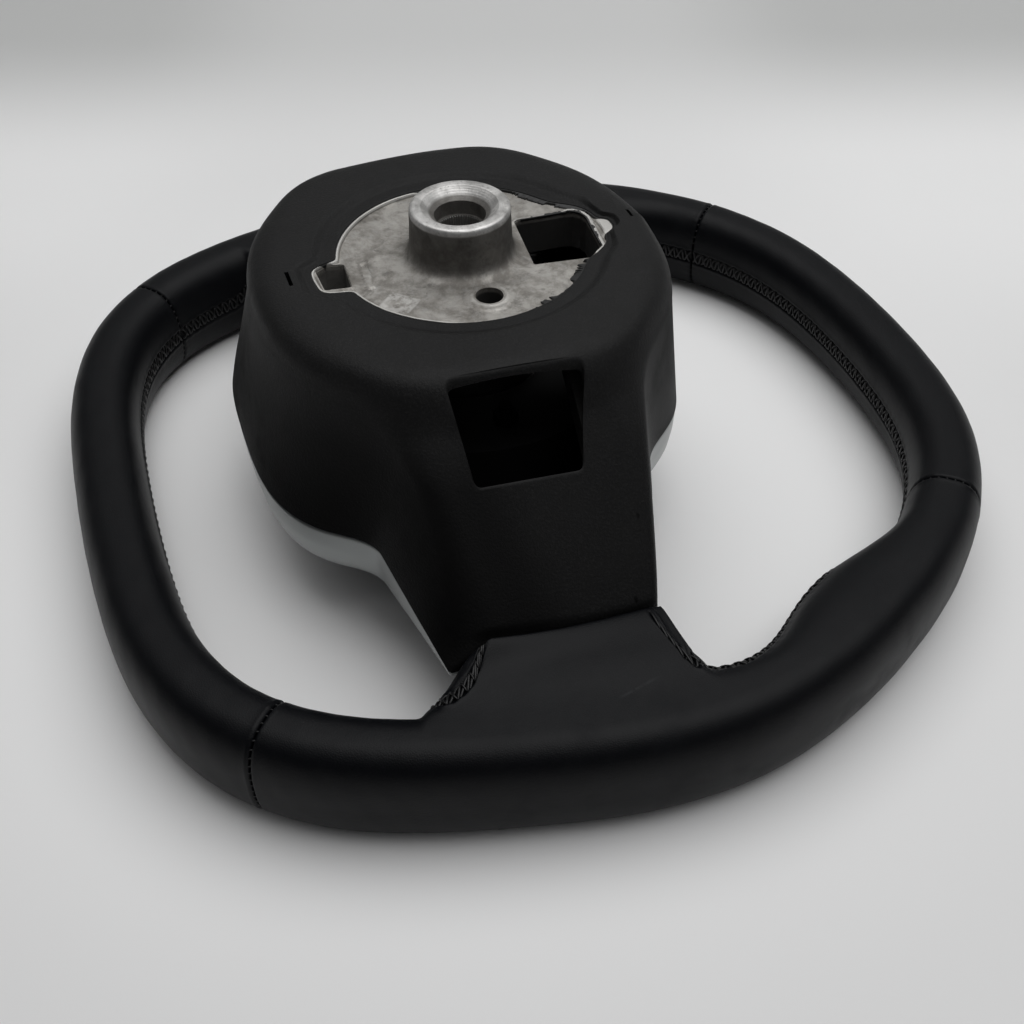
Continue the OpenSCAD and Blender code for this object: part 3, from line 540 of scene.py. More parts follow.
def dress(g, inv=1.0):
    """The panel's surface with its lacing groove, puckers and rolled ends."""
    t, P, N, d, along, edge, first = g
    on = lace_on(t)[:, None]
    ph = 2 * math.pi * along[:, None] / PITCH
    side = np.where(d > 0, 0.0, math.pi)
    hw = 2.75 + 0.32 * np.cos(ph + side)
    ad = np.abs(d)
    depth = on * 0.95 * (1 - sstep(hw - 0.45, hw + 0.75, ad))
    # rolled lip beside the lacing, pinched at each stitch
    lip = on * 0.20 * np.exp(-((ad - hw - 1.25) / 0.8) ** 2) * (1 + 0.55 * np.cos(ph + side + math.pi))
    pull = on * 0.12 * np.exp(-((ad - hw) / 2.6) ** 2) * np.cos(ph + side)
    # rolled ends at the seams
    R = 1.25
    k = clamp(edge, 0, R)
    roll = (R - np.sqrt(np.maximum(R * R - (R - k) ** 2, 0))) * 0.95
    lipe = np.where(first, 0.05, 0.16) * np.exp(-((edge - 1.5) / 0.55) ** 2)
    pinch = 0.10 * np.exp(-(edge / 2.4) ** 2) * np.cos(d * 2 * math.pi / 3.1)
    # slow unevenness of stretched leather
    x, y, z = P[..., 0], P[..., 1], P[..., 2]
    slow = 0.10 * np.sin(0.09 * x + 0.13 * z + 1.0) * np.sin(0.11 * y - 0.07 * z) + 0.05 * np.sin(0.31 * x + 0.2 * y) * np.sin(0.27 * y + 0.3 * z + 2)
    slow = slow - 0.15
    h = -depth + lip + pull - roll + lipe + pinch * 0.6 + slow
    h = np.minimum(h, 0.12)
    return P + N * (h * inv)[..., None]


def close_panel(name, g, flip, replaces):
    t, P = g[0], g[1]
    out = dress(g)
    M_, m = out.shape[:2]
    # inner skin on fewer stations
    keep = np.unique(np.concatenate([[0, M_ - 1], np.arange(0, M_, 7)]))
    th = lace_at(t[keep])[:, None] + COLS[None, :]
    inn = skin(t[keep][:, None], th, 2.3)
    tt = t[keep].copy()
    V = np.concatenate([out.reshape(-1, 3), inn.reshape(-1, 3)])
    F = [grid_faces(M_, m, wrap_m=True)]
    b = M_ * m
    F.append(grid_faces(len(keep), m, wrap_m=True, base=b, flip=True))
    j = np.arange(m)
    j1 = (j + 1) % m
    F.append(np.stack([j, b + j, b + j1, j1], -1))
    o, i = (M_ - 1) * m, b + (len(keep) - 1) * m
    F.append(np.stack([o + j1, i + j1, i + j, o + j], -1))
    F = np.concatenate(F)
    if flip:
        V = mirror_x(V)
    else:
        F = F[:, ::-1]
    return make(name, V, F, M["leather"], slot="leather", replaces=replaces, sharp=75)


SG = 0.055   # half of the seam's opening, degrees
panels = {
    "left": (panel(SEAM_LOW + SG, SEAM_HIGH - SG, 1.25), False),
    "top": (panel(SEAM_HIGH + SG, 180 - SEAM_HIGH - SG, 1.5), False),
    "bottom": (panel(180 - SEAM_LOW + SG, 360 + SEAM_LOW - SG, 1.5), False),
}
close_panel("leather_left_skin", panels["left"][0], False, ("leather_left",))
close_panel("leather_right_skin", panels["left"][0], True, ("leather_right",))
close_panel("leather_top_skin", panels["top"][0], False, ("leather_top",))
close_panel("leather_bottom_skin", panels["bottom"][0], False, ("leather_bottom",))


def surf(g, s, dd, lift=0.0):
    """Point at length s along the lacing and dd mm to its side, on the plain surface."""
    t, P, N, d, along = g[:5]
    out = []
    for si, di, li in zip(s, dd, lift):
        i = int(clamp(np.searchsorted(along, si) - 1, 0, len(along) - 2))
        f = (si - along[i]) / max(along[i + 1] - along[i], 1e-9)
        pts = []
        for k in (i, i + 1):
            p = np.array([np.interp(di, d[k], P[k, :, c]) for c in range(3)])
            n = np.array([np.interp(di, d[k], N[k, :, c]) for c in range(3)])
            pts.append((p, n))
        p = pts[0][0] * (1 - f) + pts[1][0] * f
        n = pts[0][1] * (1 - f) + pts[1][1] * f
        out.append(p + n / np.linalg.norm(n) * li)
    return np.array(out)


def lacing(g):
    """Two threads that cross from edge to edge, V after V."""
    t, along = g[0], g[4]
    L = along[-1]
    n = int(round(L / PITCH))
    paths = []
    u = np.linspace(0, 1, 7)
    for k in range(n):
        s0 = (k + 0.5) * L / n
        f = fold(np.interp(s0, along, t))
        if -15.6 < f < 7.2 or min(s0, L - s0) < 1.6:
            continue
        for a, off in ((1, 0.0), (-1, 0.0), (-1, 0.5)):
            s1 = s0 + off * PITCH
            if s1 > L - 1.2:
                continue
            hw = 2.55
            ds = PITCH * (0.75 if off == 0.0 else 0.3)
            s = s1 + (u - 0.5) * ds
            dd = a * hw * np.cos(u * math.pi)
            li = -0.75 + 0.62 * np.sin(u * math.pi) ** 0.7 + (0.32 if a > 0 else 0.0) * np.sin(u * math.pi)
            s = clamp(s + RNG.normal(0, 0.10), 0.05, L - 0.05)
            paths.append(surf(g, s, dd, li))
    return paths


lace_l = lacing(panels["left"][0])
lace_paths = lace_l + [mirror_x(p) for p in lace_l] + lacing(panels["top"][0]) + lacing(panels["bottom"][0])
tubes("rim_lacing", lace_paths, 0.46, M["thread"], slot="leather", sides=6)


# short stitches inside the four seams
def seam_stitches():
    paths = []
    for tc in (SEAM_LOW, SEAM_HIGH, 180 - SEAM_HIGH, 180 - SEAM_LOW):
        mmdeg = np.linalg.norm(skin(tc + 0.5, 90) - skin(tc - 0.5, 90))
        th = np.linspace(0, 360, 721)
        ring = skin(np.full(721, tc), th)
        s = np.concatenate([[0], np.cumsum(np.linalg.norm(np.diff(ring, axis=0), axis=1))])
        n = int(s[-1] / 3.1)
        for k in range(n):
            a = np.interp((k + 0.5) * s[-1] / n, s, th)
            if abs((a % 360) - 180) < 14:
                continue
            u = np.linspace(-1, 1, 5)
            paths.append(skin(tc + u * 0.85 / mmdeg, np.full(5, a) + u * 1.0, 0.62 + 0.55 * u ** 2))
    return paths


tubes("rim_seam_stitches", seam_stitches(), 0.30, M["thread"], slot="leather", sides=5)

# foam under the leather
tf = np.unique(np.concatenate([np.linspace(-89.5, 270, 420), np.linspace(-26, -18, 30), np.linspace(6, 16, 40), np.linspace(164, 174, 40), np.linspace(198, 206, 30)]))
thf = np.arange(0, 360, 360 / 72)
fo, fi = skin(tf[:, None], thf[None, :], 3.2), skin(tf[:, None], thf[None, :], 5.6)
nf = len(tf)
Vf = np.concatenate([fo.reshape(-1, 3), fi.reshape(-1, 3)])
Ff = np.concatenate([grid_faces(nf, 72, wrap_n=True, wrap_m=True, flip=True), grid_faces(nf, 72, wrap_n=True, wrap_m=True, base=nf * 72)])
foam = make("rim_foam_core", Vf, Ff, M["foam"], slot="foam", replaces=("rim_foam",))


# ---------------------------------------------------------------- rear cover
def turn(a): return (np.asarray(a, float) + 180) % 360 - 180


def cover_open(p):
    return (OPEN_R + 8.6 * np.exp(-(turn(p - 89) / 22) ** 4) + 3.9 * np.exp(-(turn(p - 88) / 5) ** 4)
            + 9.6 * np.exp(-(turn(p + 87.6) / 11.5) ** 6))


def hub_top_r(p): return 73.4 - 2.6 * sn(p) + 1.2 * cs(2 * p) - 1.2 * cs(4 * p)
def hub_low_r(p): return 79.7 - 7.2 * sn(p) - 2.7 * sn(3 * p) - 11.5 * cs(2 * p) - 6.7 * cs(4 * p)


def hub_r(p, z):
    r0 = hub_top_r(p)
    zt = COVER_Z + RISE
    zs = zt - HUB_B
    u = clamp((z - zs) / HUB_B, 0, 1)
    r0 = r0 - 1.9 * np.exp(-(turn(p + 107) / 34) ** 2) * sstep(-74, -50, z) * (1 - 0.6 * sstep(-24, -15, z))
    return np.where(z > zs, r0 + 6 - HUB_A + HUB_A * (1 - u ** 2.3) ** (1 / 2.3),
                    mix(r0 + 6, hub_low_r(p), np.minimum(1, (zs - z) / (zs - PART_Z))))


def face_z(x): return -18 - SLOPE * (x - 74)
def edge_z(x): return PART_Z - 0.35 * clamp(x - 79, 0, 47)


def top_z(r, p):
    """Height of the cover's top: a shallow recess round the opening, with a soft step."""
    ro = cover_open(p)
    return COVER_Z + RISE * sstep(5.0, 9.5, r - ro)


def spoke_f(x, y, z):
    zf, zl = face_z(x), edge_z(x)
    u = clamp((zf - z) / np.maximum(zf - zl, 4), 0, 1) ** 0.8
    yl = mix(-46 + 0.19 * (x - 62), -57 + 0.21 * (x - 79), u)
    yr = mix(40 - 0.19 * (x - 62), 44.5 - 0.385 * (x - 79), u)
    k = mix(16, 5, sstep(2, 26, -18 - z))
    return smax(smax((z - zf) * 0.61, np.maximum(yl - y, y - yr) * 0.9, k), x - end_x(y, z), 1.0)


def cover_f(r, p, z):
    x, y = np.abs(r * cs(p)), r * sn(p)
    return smin(r - hub_r(p, z), spoke_f(x, y, z), 9)


def cover_r(p, z):
    a, b = np.full(np.shape(p), 45.0), np.full(np.shape(p), 145.0)
    for _ in range(24):
        m = (a + b) / 2
        inside = cover_f(m, p, z) <= 0
        a, b = np.where(inside, m, a), np.where(inside, b, m)
    return (a + b) / 2


def part_at(p):
    f = fold(p)
    f = np.where(np.abs(f) > 60, 60, f)
    k = np.tan(f * D)
    x = np.where(f < 0, 73.6 / (0.21 - k), 74.9 / (0.385 + k))
    return edge_z(clamp(np.abs(x), 0, SPOKE_END))


one = np.concatenate([np.arange(-90, -66, 0.5), np.arange(-66, -38, 1.0), np.arange(-38, 34, 0.5), np.arange(34, 60, 1.0), np.arange(60, 90, 0.5)])
COL = np.concatenate([one, 180 - one[::-1] - 0.0])
COL = np.unique(np.round(COL % 360, 4))
PZ = part_at(COL)
PR = cover_r(COL, PZ)


def F_all(r, z, p):
    return smax(cover_f(r, p, z), (z - COVER_Z - RISE), 3.0)


def build_cover():
    n = len(COL)
    r0, ro = hub_top_r(COL), cover_open(COL)
    c_r, c_z = np.maximum(r0 - 12, ro + 3.0), np.full(n, -46.0)
    a_end = np.degrees(np.arctan2(PZ - c_z, PR - c_r))
    K = 260
    u = np.linspace(0, 1, K)[None, :]
    ang = 90 + (a_end[:, None] - 90) * u
    lo, hi = np.zeros((n, K)), np.full((n, K), 130.0)
    P = np.broadcast_to(COL[:, None], (n, K))
    for _ in range(26):
        m = (lo + hi) / 2
        rr, zz = c_r[:, None] + m * cs(ang), c_z[:, None] + m * sn(ang)
        ins = F_all(rr, zz, P) <= 0
        lo, hi = np.where(ins, m, lo), np.where(ins, hi, m)
    m = (lo + hi) / 2
    rr, zz = c_r[:, None] + m * cs(ang), c_z[:, None] + m * sn(ang)
    seg = np.hypot(np.diff(rr, axis=1), np.diff(zz, axis=1))
    s = np.concatenate([np.zeros((n, 1)), np.cumsum(seg, 1)], 1)
    R = 104
    q = np.linspace(0, 1, R) ** 1.0
    orr, ozz = np.zeros((n, R)), np.zeros((n, R))
    for i in range(n):
        orr[i] = np.interp(q * s[i, -1], s[i], rr[i])
        ozz[i] = np.interp(q * s[i, -1], s[i], zz[i])
    # flat top from the opening's lip outwards
    start = orr[:, :1]
    k = np.array([0.0, 0.12, 0.35, 0.75])
    lip_r = ro[:, None] + np.array([0.0, 0.0, 0.18, 0.55])[None, :]
    lip_z = COVER_Z + np.array([-2.2, -0.55, -0.16, 0.0])[None, :] + 0 * lip_r   # rounded edge of the opening
    offs = np.array([1.2, 2.8, 4.4, 5.0, 5.6, 6.2, 6.8, 7.4, 8.0, 8.6, 9.2, 9.8, 10.8])
    span = start - ro[:, None]
    fr = ro[:, None] + np.minimum(offs[None, :], span * (0.3 + 0.69 * np.arange(1, 14)[None, :] / 13))
    top = ozz[:, :1] - COVER_Z
    w0 = np.minimum(5.0, span * 0.35)
    fz = COVER_Z + top * sstep(0, 1, (fr - ro[:, None] - w0) / np.minimum(4.2, span - w0 - 0.3))
    r_all = np.concatenate([lip_r, fr, orr], 1)
    z_all = np.concatenate([lip_z, fz, ozz], 1)
    # inner shell on fewer rows
    rows = r_all.shape[1]
    idx = np.unique(np.concatenate([[2, 4, 10, 17], np.arange(18, rows, 6), [rows - 1]]))
    tr = np.gradient(r_all, axis=1)
    tz = np.gradient(z_all, axis=1)
    ln = np.maximum(np.hypot(tr, tz), 1e-6)
    nr, nz = -tz / ln, tr / ln        # outward side of a line that runs outwards and down
    ir, iz = r_all[:, idx] - 2.3 * nr[:, idx], z_all[:, idx] - 2.3 * nz[:, idx]
    iz[:, -1] = z_all[:, -1]
    ir[:, -1] = r_all[:, -1] - 2.3
    ir[:, 0] = r_all[:, 0] + 0.02
    iz[:, 0] = COVER_Z - 2.4
    def xyz(r, z): return np.stack([r * cs(COL)[:, None], r * sn(COL)[:, None], z], -1)
    A, B = xyz(r_all, z_all), xyz(ir[:, ::-1], iz[:, ::-1])
    G = np.concatenate([A, B], 1)
    return G


G = build_cover()
cover = make("rear_cover_shell", G.reshape(-1, 3), grid_faces(G.shape[0], G.shape[1], wrap_n=True, wrap_m=True), M["cover_plastic"], slot="cover_plastic",
             replaces=("rear_cover",), sharp=38)


def rounded(poly, rad, n=6):
    """Polygon with its corners rounded."""
    poly = np.asarray(poly, float)
    out = []
    for i in range(len(poly)):
        a, b, c = poly[i - 1], poly[i], poly[(i + 1) % len(poly)]
        u, v = (a - b) / np.linalg.norm(a - b), (c - b) / np.linalg.norm(c - b)
        ang = math.acos(float(np.clip(u @ v, -1, 1)))
        l = min(rad / math.tan(ang / 2), 0.45 * np.linalg.norm(a - b), 0.45 * np.linalg.norm(c - b))
        p0, p1 = b + u * l, b + v * l
        for k in range(n + 1):
            w = k / n
            out.append((1 - w) ** 2 * p0 + 2 * w * (1 - w) * b + w ** 2 * p1)
    return np.array(out)


def grow(poly, g):
    """Polygon (anticlockwise) moved outwards by g."""
    a, c = np.roll(poly, 1, 0), np.roll(poly, -1, 0)
    t = c - a
    t /= np.maximum(np.linalg.norm(t, axis=1, keepdims=True), 1e-9)
    return poly + g * np.stack([t[:, 1], -t[:, 0]], 1)


def loft(levels):
    """Closed solid through equal loops of points, lowest first."""
    m = len(levels[0])
    V = np.concatenate(levels)
    F = [grid_faces(len(levels), m, wrap_m=True, flip=False)]
    j = np.arange(1, m - 1)
    o = (len(levels) - 1) * m
    cap = [np.stack([0 * j, j + 1, j], -1), np.stack([0 * j + o, o + j, o + j + 1], -1)]
    return V, F + cap


def cut(ob, V, Fs):
    """ob minus the closed solid."""
    me = bpy.data.meshes.new("cutter")
    faces = [tuple(int(i) for i in f) for a in Fs for f in a]
    me.from_pydata([tuple(v) for v in (np.asarray(V) * 0.001)], [], faces)
    me.update()
    co = bpy.data.objects.new("cutter", me)
    bpy.context.scene.collection.objects.link(co)
    md = ob.modifiers.new("cut", "BOOLEAN")
    md.operation, md.object, md.solver = "DIFFERENCE", co, "EXACT"
    bpy.context.view_layer.update()
    dg = bpy.context.evaluated_depsgraph_get()
    new = bpy.data.meshes.new_from_object(ob.evaluated_get(dg))
    ob.modifiers.remove(md)
    old = ob.data
    ob.data = new
    new.name = old.name + "_cut"
    bpy.data.meshes.remove(old)
    bpy.data.objects.remove(co)
    bpy.data.meshes.remove(me)




def surface_z(x, y):
    """Height of the cover's outside above a point."""
    p, r = np.degrees(np.arctan2(y, x)), np.hypot(x, y)
    lo, hi = np.full(len(x), -80.0), np.full(len(x), 0.0)
    for _ in range(26):
        m = (lo + hi) / 2
        ins = F_all(r, m, p) <= 0
        lo, hi = np.where(ins, m, lo), np.where(ins, hi, m)
    return (lo + hi) / 2


for sgn in (1, -1):
    q = rounded([[72.6, -29.4], [92.9, -26.2], [94.3, 10.4], [75.2, 17.6]], 2.4, 6)
    lv = []
    for dz, gr in ((None, -0.4), (-1.6, -0.1), (-1.1, 0.0), (-0.6, 0.14), (-0.22, 0.5), (0.05, 1.1), (9.0, 1.3)):
        e = grow(q, gr)
        z = np.full(len(e), -62.0) if dz is None else surface_z(e[:, 0], e[:, 1]) + dz
        lv.append(np.column_stack([e[:, 0] * sgn, e[:, 1], z]))
    V, Fs = loft(lv)
    if sgn < 0:
        Fs = [f[:, ::-1] for f in Fs]
    cut(cover, V, Fs)
for x0, x1, y0, y1 in ((-4.5, 4.5, -64, -62.6), (-2.5, 2.5, 65.4, 66.6)):
    e = np.array([[x0, y0], [x1, y0], [x1, y1], [x0, y1]])
    V, Fs = loft([np.column_stack([e, np.full(4, z)]) for z in (-20, -10)])
    cut(cover, V, Fs)
cover.data.shade_smooth()
cover.data.set_sharp_from_angle(angle=math.radians(38))

def solid(name, V, Fs, mat, **kw):
    """make(), with the faces turned outwards."""
    V = np.asarray(V, float)
    vol = 0.0
    c = V.mean(0)
    for f in Fs:
        f = np.asarray(f)
        for k in range(1, f.shape[1] - 1):
            a, b, d = V[f[:, 0]] - c, V[f[:, k]] - c, V[f[:, k + 1]] - c
            vol += float(np.einsum("ij,ij->i", a, np.cross(b, d)).sum())
    if vol < 0:
        Fs = [np.asarray(f)[:, ::-1] for f in Fs]
    return make(name, V, Fs, mat, **kw)


def between_poles(name, R, Z, ang, mat, **kw):
    """Closed form: rows of rings from one pole to the other; R and Z are rows by columns."""
    n, m = R.shape
    V = np.stack([R * cs(ang)[None, :], R * sn(ang)[None, :], Z], -1).reshape(-1, 3)
    V = np.concatenate([V, [[0, 0, Z[0].mean()], [0, 0, Z[-1].mean()]]])
    j = np.arange(m)
    j1 = (j + 1) % m
    o = (n - 1) * m
    F3 = np.concatenate([np.stack([np.full(m, n * m), j1, j], -1), np.stack([np.full(m, n * m + 1), o + j, o + j1], -1)])
    return solid(name, V, [grid_faces(n, m, wrap_m=True), F3], mat, **kw)


# ---------------------------------------------------------------- the casting's visible face
WINDOW = np.array([[16.8, 21.9], [19.3, 42.6], [14.8, 48.8], [-5.5, 51], [-8.8, 50.2], [-11.4, 47.8], [-12.4, 45], [-13.2, 26.3], [-12, 24.8]])
POCKET = np.array([[-5, -52.8], [7.4, -52.4], [8.6, -43.2], [-6.2, -42.2], [-7.6, -48.8]])


def off_line(x, y, poly):
    """Distance to a closed polygon's line."""
    best = np.full(np.shape(x), 1e9)
    for i in range(len(poly)):
        a, d = poly[i], poly[(i + 1) % len(poly)] - poly[i]
        k = clamp(((x - a[0]) * d[0] + (y - a[1]) * d[1]) / (d @ d), 0, 1)
        best = np.minimum(best, np.hypot(x - a[0] - k * d[0], y - a[1] - k * d[1]))
    return best


def lumps(x, y, seed, scale, n=9):
    g = np.random.default_rng(seed)
    out = 0
    for _ in range(n):
        a, ph = g.uniform(0, 2 * math.pi, 2)
        k = scale * g.uniform(0.6, 1.7)
        out = out + np.sin((x * math.cos(a) + y * math.sin(a)) * k + ph)
    return out / math.sqrt(n)


def plate_h(x, y):
    p, r = np.degrees(np.arctan2(y, x)), np.hypot(x, y)
    k = (cover_open(p + 0.4) - cover_open(p - 0.4)) / (0.8 * D) / np.maximum(r, 1)
    e = (cover_open(p) - 0.35 - r) / np.sqrt(1 + k * k)
    q = turn(p)
    amp = sstep(-180, -172, q) * (1 - sstep(-34, 0, q))
    h = 1.15 * amp * (1 - sstep(0.55, 1.2, e))
    dw = off_line(x, y, WINDOW)
    h = np.maximum(h, 1.0 * (1 - sstep(1.3, 2.1, dw)) * sstep(43.5, 46.5, y))
    h = np.maximum(h, 0.55 * (1 - sstep(1.0, 1.8, dw)) * sstep(-11, -12.5, x))
    h = np.maximum(h, 0.9 * sstep(53.2, 54.2, r) * sstep(80, 84, q) * (1 - sstep(92, 96, q)))
    dp = off_line(x, y, POCKET)
    h = np.maximum(h, 0.5 * (1 - sstep(0.5, 1.1, dp)) * (1 - sstep(-43, -41, y)))
    rr = np.hypot(x - 30, y - 0.5)
    h = h + 0.36 * (1 - sstep(8.5, 9.7, rr)) + 0.16 * np.exp(-((rr - 6.2) / 0.7) ** 2)
    pad = sstep(-6.5, -6.0, x) * (1 - sstep(11.2, 11.7, x)) * sstep(-38.0, -37.6, y + 0.06 * (x - 2)) * (1 - sstep(-34.8, -34.4, y + 0.06 * (x - 2)))
    h = h + 0.42 * pad - 0.55 * np.exp(-((np.abs(x + 3.2) / 1.0) ** 4 + (np.abs(y + 35.9) / 0.9) ** 4))
    h = h + 0.05 * lumps(x, y, 3, 0.35) + 0.022 * lumps(x, y, 4, 1.3)
    return -15.42 + h


def build_face():
    m = 432
    ang = np.arange(m) * 360 / m
    prof = np.array([(9.35, -0.5), (9.35, 0.30), (9.45, 0.42), (9.75, 0.62), (10.2, 0.97), (11.5, 2.02), (12.7, 3.0), (13.55, 3.68), (13.75, 3.85), (13.95, 3.97), (14.2, 4.02),
                     (15.4, 4.03), (16.5, 4.02), (16.95, 3.96), (17.35, 3.8), (17.7, 3.5), (17.95, 3.08), (18.07, 2.6), (18.1, 2.0), (18.13, 1.0), (18.17, -1.0),
                     (18.25, -3.5), (18.38, -6.0), (18.52, -8.3), (18.68, -10.2), (18.9, -11.4), (19.25, -12.5), (19.8, -13.4), (20.5, -14.1), (21.4, -14.68),
                     (22.5, -15.08), (24.0, -15.32), (26.0, -15.42)])
    R = [np.full(m, a) for a, _ in prof]
    Z = [np.full(m, b) for _, b in prof]
    for i, (a, b) in enumerate(prof):
        wob = 0.030 * lumps(a * cs(ang) * 1.0, a * sn(ang), 11, 0.9) + 0.014 * lumps(a * cs(ang), a * sn(ang), 12 + i // 3, 3.0)
        if 12.9 < a < 19.5:
            R[i] = R[i] + wob * (0.9 if b < 3.9 else 0.4)
        if a > 20:
            Z[i] = Z[i] + 0.05 * lumps(a * cs(ang), a * sn(ang), 3, 0.35) * sstep(20, 26, a)
    ro = cover_open(ang) - 0.35
    v = np.linspace(0, 1, 64)[1:]
    u = 1 - (1 - v) ** 1.45
    for k in u:
        r = 26 + (ro - 26) * k
        R.append(r)
        Z.append(plate_h(r * cs(ang), r * sn(ang)))
    for a, b in ((1.0, -16.1), (1.0, -16.9)):
        R.append(ro * a)
        Z.append(np.full(m, b))
    for a, b in ((34, -16.9), (21.5, -16.6), (17.0, -12.0), (16.4, -2.0), (15.8, 1.6), (14.4, 2.5), (11.0, -0.2), (9.6, -0.8)):
        R.append(np.full(m, float(a)))
        Z.append(np.full(m, float(b)))
    R, Z = np.array(R), np.array(Z)
    V = np.stack([R * cs(ang)[None, :], R * sn(ang)[None, :], Z], -1).reshape(-1, 3)
    return V, [grid_faces(len(R), m, wrap_n=True, wrap_m=True)]


V, Fs = build_face()
face = solid("casting_face", V, Fs, M["cast_alloy"], slot="cast_alloy", sharp=30)
for poly, rad in ((WINDOW[::-1] if np.cross(WINDOW[1] - WINDOW[0], WINDOW[2] - WINDOW[1]) < 0 else WINDOW, 0.8), (POCKET, 0.9)):
    e = rounded(poly, rad, 4)
    area2 = float(np.sum(e[:, 0] * np.roll(e[:, 1], -1) - np.roll(e[:, 0], -1) * e[:, 1]))
    if area2 < 0:
        e = e[::-1]
    V, Fs = loft([np.column_stack([grow(e, g), np.full(len(e), z)]) for z, g in ((-19, 0.02), (-15.9, 0.02), (-15.3, 0.16), (-14.0, 0.5), (-9, 0.6))])
    cut(face, V, Fs)
a = np.arange(48) * 7.5
V, Fs = loft([np.column_stack([30 + q * cs(a), 0.5 + q * sn(a), np.full(48, z)]) for z, q in ((-19, 4.97), (-15.7, 4.97), (-15.3, 5.12), (-14.9, 5.55), (-12, 5.9))])
cut(face, V, Fs)
face.data.shade_smooth()
face.data.set_sharp_from_angle(angle=math.radians(32))

# ragged black flash along the opening
def wander(ang, seed, step):
    """Random values between knots every step degrees, wrapped."""
    n = int(round(360 / step))
    g = np.random.default_rng(seed).uniform(-1, 1, n)
    x = (ang / step) % n
    i = x.astype(int) % n
    f = x - np.floor(x)
    return g[i] * (1 - f) + g[(i + 1) % n] * f


fa = np.arange(0, 360, 0.36)
qa = turn(fa)
env = (0.05 + 1.0 * sstep(40, 46, qa) * (1 - sstep(60, 66, qa)) + 1.0 * sstep(16, 20, qa) * (1 - sstep(27, 31, qa)) + 0.35 * sstep(-14, -6, qa) * (1 - sstep(60, 70, qa))
       + 0.9 * sstep(98, 104, qa) * (1 - sstep(134, 142, qa)) + 0.25 * sstep(66, 72, qa) * (1 - sstep(96, 100, qa)))
mix3 = 0.55 * wander(fa, 21, 6.0) + 0.45 * wander(fa, 22, 2.4) + 0.35 * wander(fa, 23, 0.72)
wide = 0.42 + env * (1.5 * sstep(-0.15, 0.12, mix3) + 0.35 * np.abs(wander(fa, 24, 0.72)))
fo_ = cover_open(fa)
fr = np.stack([fo_ + 0.22, fo_ - 0.25, fo_ - 0.6 * wide, fo_ - wide + 0.12, fo_ - wide, fo_ - wide, fo_ + 0.22])
bumpz = 0.12 * wander(fa, 25, 1.4)
fz = np.stack([0 * fa - 14.4, 0 * fa - 14.5, -14.75 + bumpz, -15.0 + bumpz, -15.25 + 0.5 * bumpz, 0 * fa - 15.7, 0 * fa - 15.9])
solid("opening_flash", np.stack([fr * cs(fa)[None, :], fr * sn(fa)[None, :], fz], -1).reshape(-1, 3), [grid_faces(7, len(fa), wrap_n=True, wrap_m=True)],
      M["flash"], slot="foam", sharp=50)

# the same flash, broken up, along two edges of the casting's window
wp = np.array([[13.5, 48.94], [-5.0, 50.95], [-7.4, 50.7], [-9.2, 49.9], [-10.9, 48.3], [-12.0, 46.2], [-12.45, 44.0], [-13.15, 27.4]])
ws = np.concatenate([[0], np.cumsum(np.hypot(*np.diff(wp, axis=0).T))])
wt = np.arange(0, ws[-1], 0.3)
wc = np.column_stack([np.interp(wt, ws, wp[:, 0]), np.interp(wt, ws, wp[:, 1])])
wd = np.gradient(np.column_stack([np.convolve(np.pad(wc[:, k], 4, mode="reflect", reflect_type="odd"), np.ones(9) / 9, "valid") for k in (0, 1)]), axis=0)
wn = np.column_stack([-wd[:, 1], wd[:, 0]]) / np.hypot(*wd.T)[:, None]
wn *= np.sign(((wc - [3, 38]) * wn).sum(1))[:, None]
wv = wt * 4.0
on = sstep(-0.05, 0.25, 0.7 * wander(wv, 31, 12.0) + 0.4 * wander(wv, 32, 4.0))
ww = 0.06 + on * (0.55 + 0.75 * np.abs(wander(wv, 33, 4.0))) * np.clip(np.minimum(wt, wt[-1] - wt) / 1.5, 0.1, 1)
zc = plate_h(*(wc + 0.4 * wn).T)
zo = plate_h(*(wc + ww[:, None] * wn).T)
rows = [(-0.28, zc - 0.9), (-0.32, zc + 0.02), (0.5 * ww, zc + 0.03 + 0.14 * on), (ww, zo + 0.04), (ww, zo - 0.4), (0.0 * ww, zc - 0.9)]
rings = np.stack([np.column_stack([wc + (np.zeros(len(wt)) + g)[:, None] * wn, zz]) for g, zz in rows], 1)
V, Fs = loft(list(rings))
solid("window_flash", V, Fs, M["flash"], slot="foam", sharp=50)

# fine teeth of the column bore
ta = np.arange(56 * 6) * 360 / (56 * 6)
kt = np.array([0, 0.15, 1, 1, 0.15, 0])[np.arange(len(ta)) % 6]
tr_ = np.stack([8.7 + 0 * ta, 8.7 + 0 * ta, 8.32 - 0.02 * kt, 8.28 - 0.36 * kt, 8.28 - 0.36 * kt, 8.32 + 0 * ta])
tz_ = np.stack([-18.7 + 0 * ta, -5.3 + 0 * ta, -5.02 + 0 * ta, -5.45 + 0 * ta, -18.3 + 0 * ta, -18.7 + 0 * ta])
solid("bore_teeth", np.stack([tr_ * cs(ta)[None, :], tr_ * sn(ta)[None, :], tz_], -1).reshape(-1, 3), [grid_faces(6, len(ta), wrap_n=True, wrap_m=True)],
      M["tooth"], slot="cast_alloy", sharp=25)

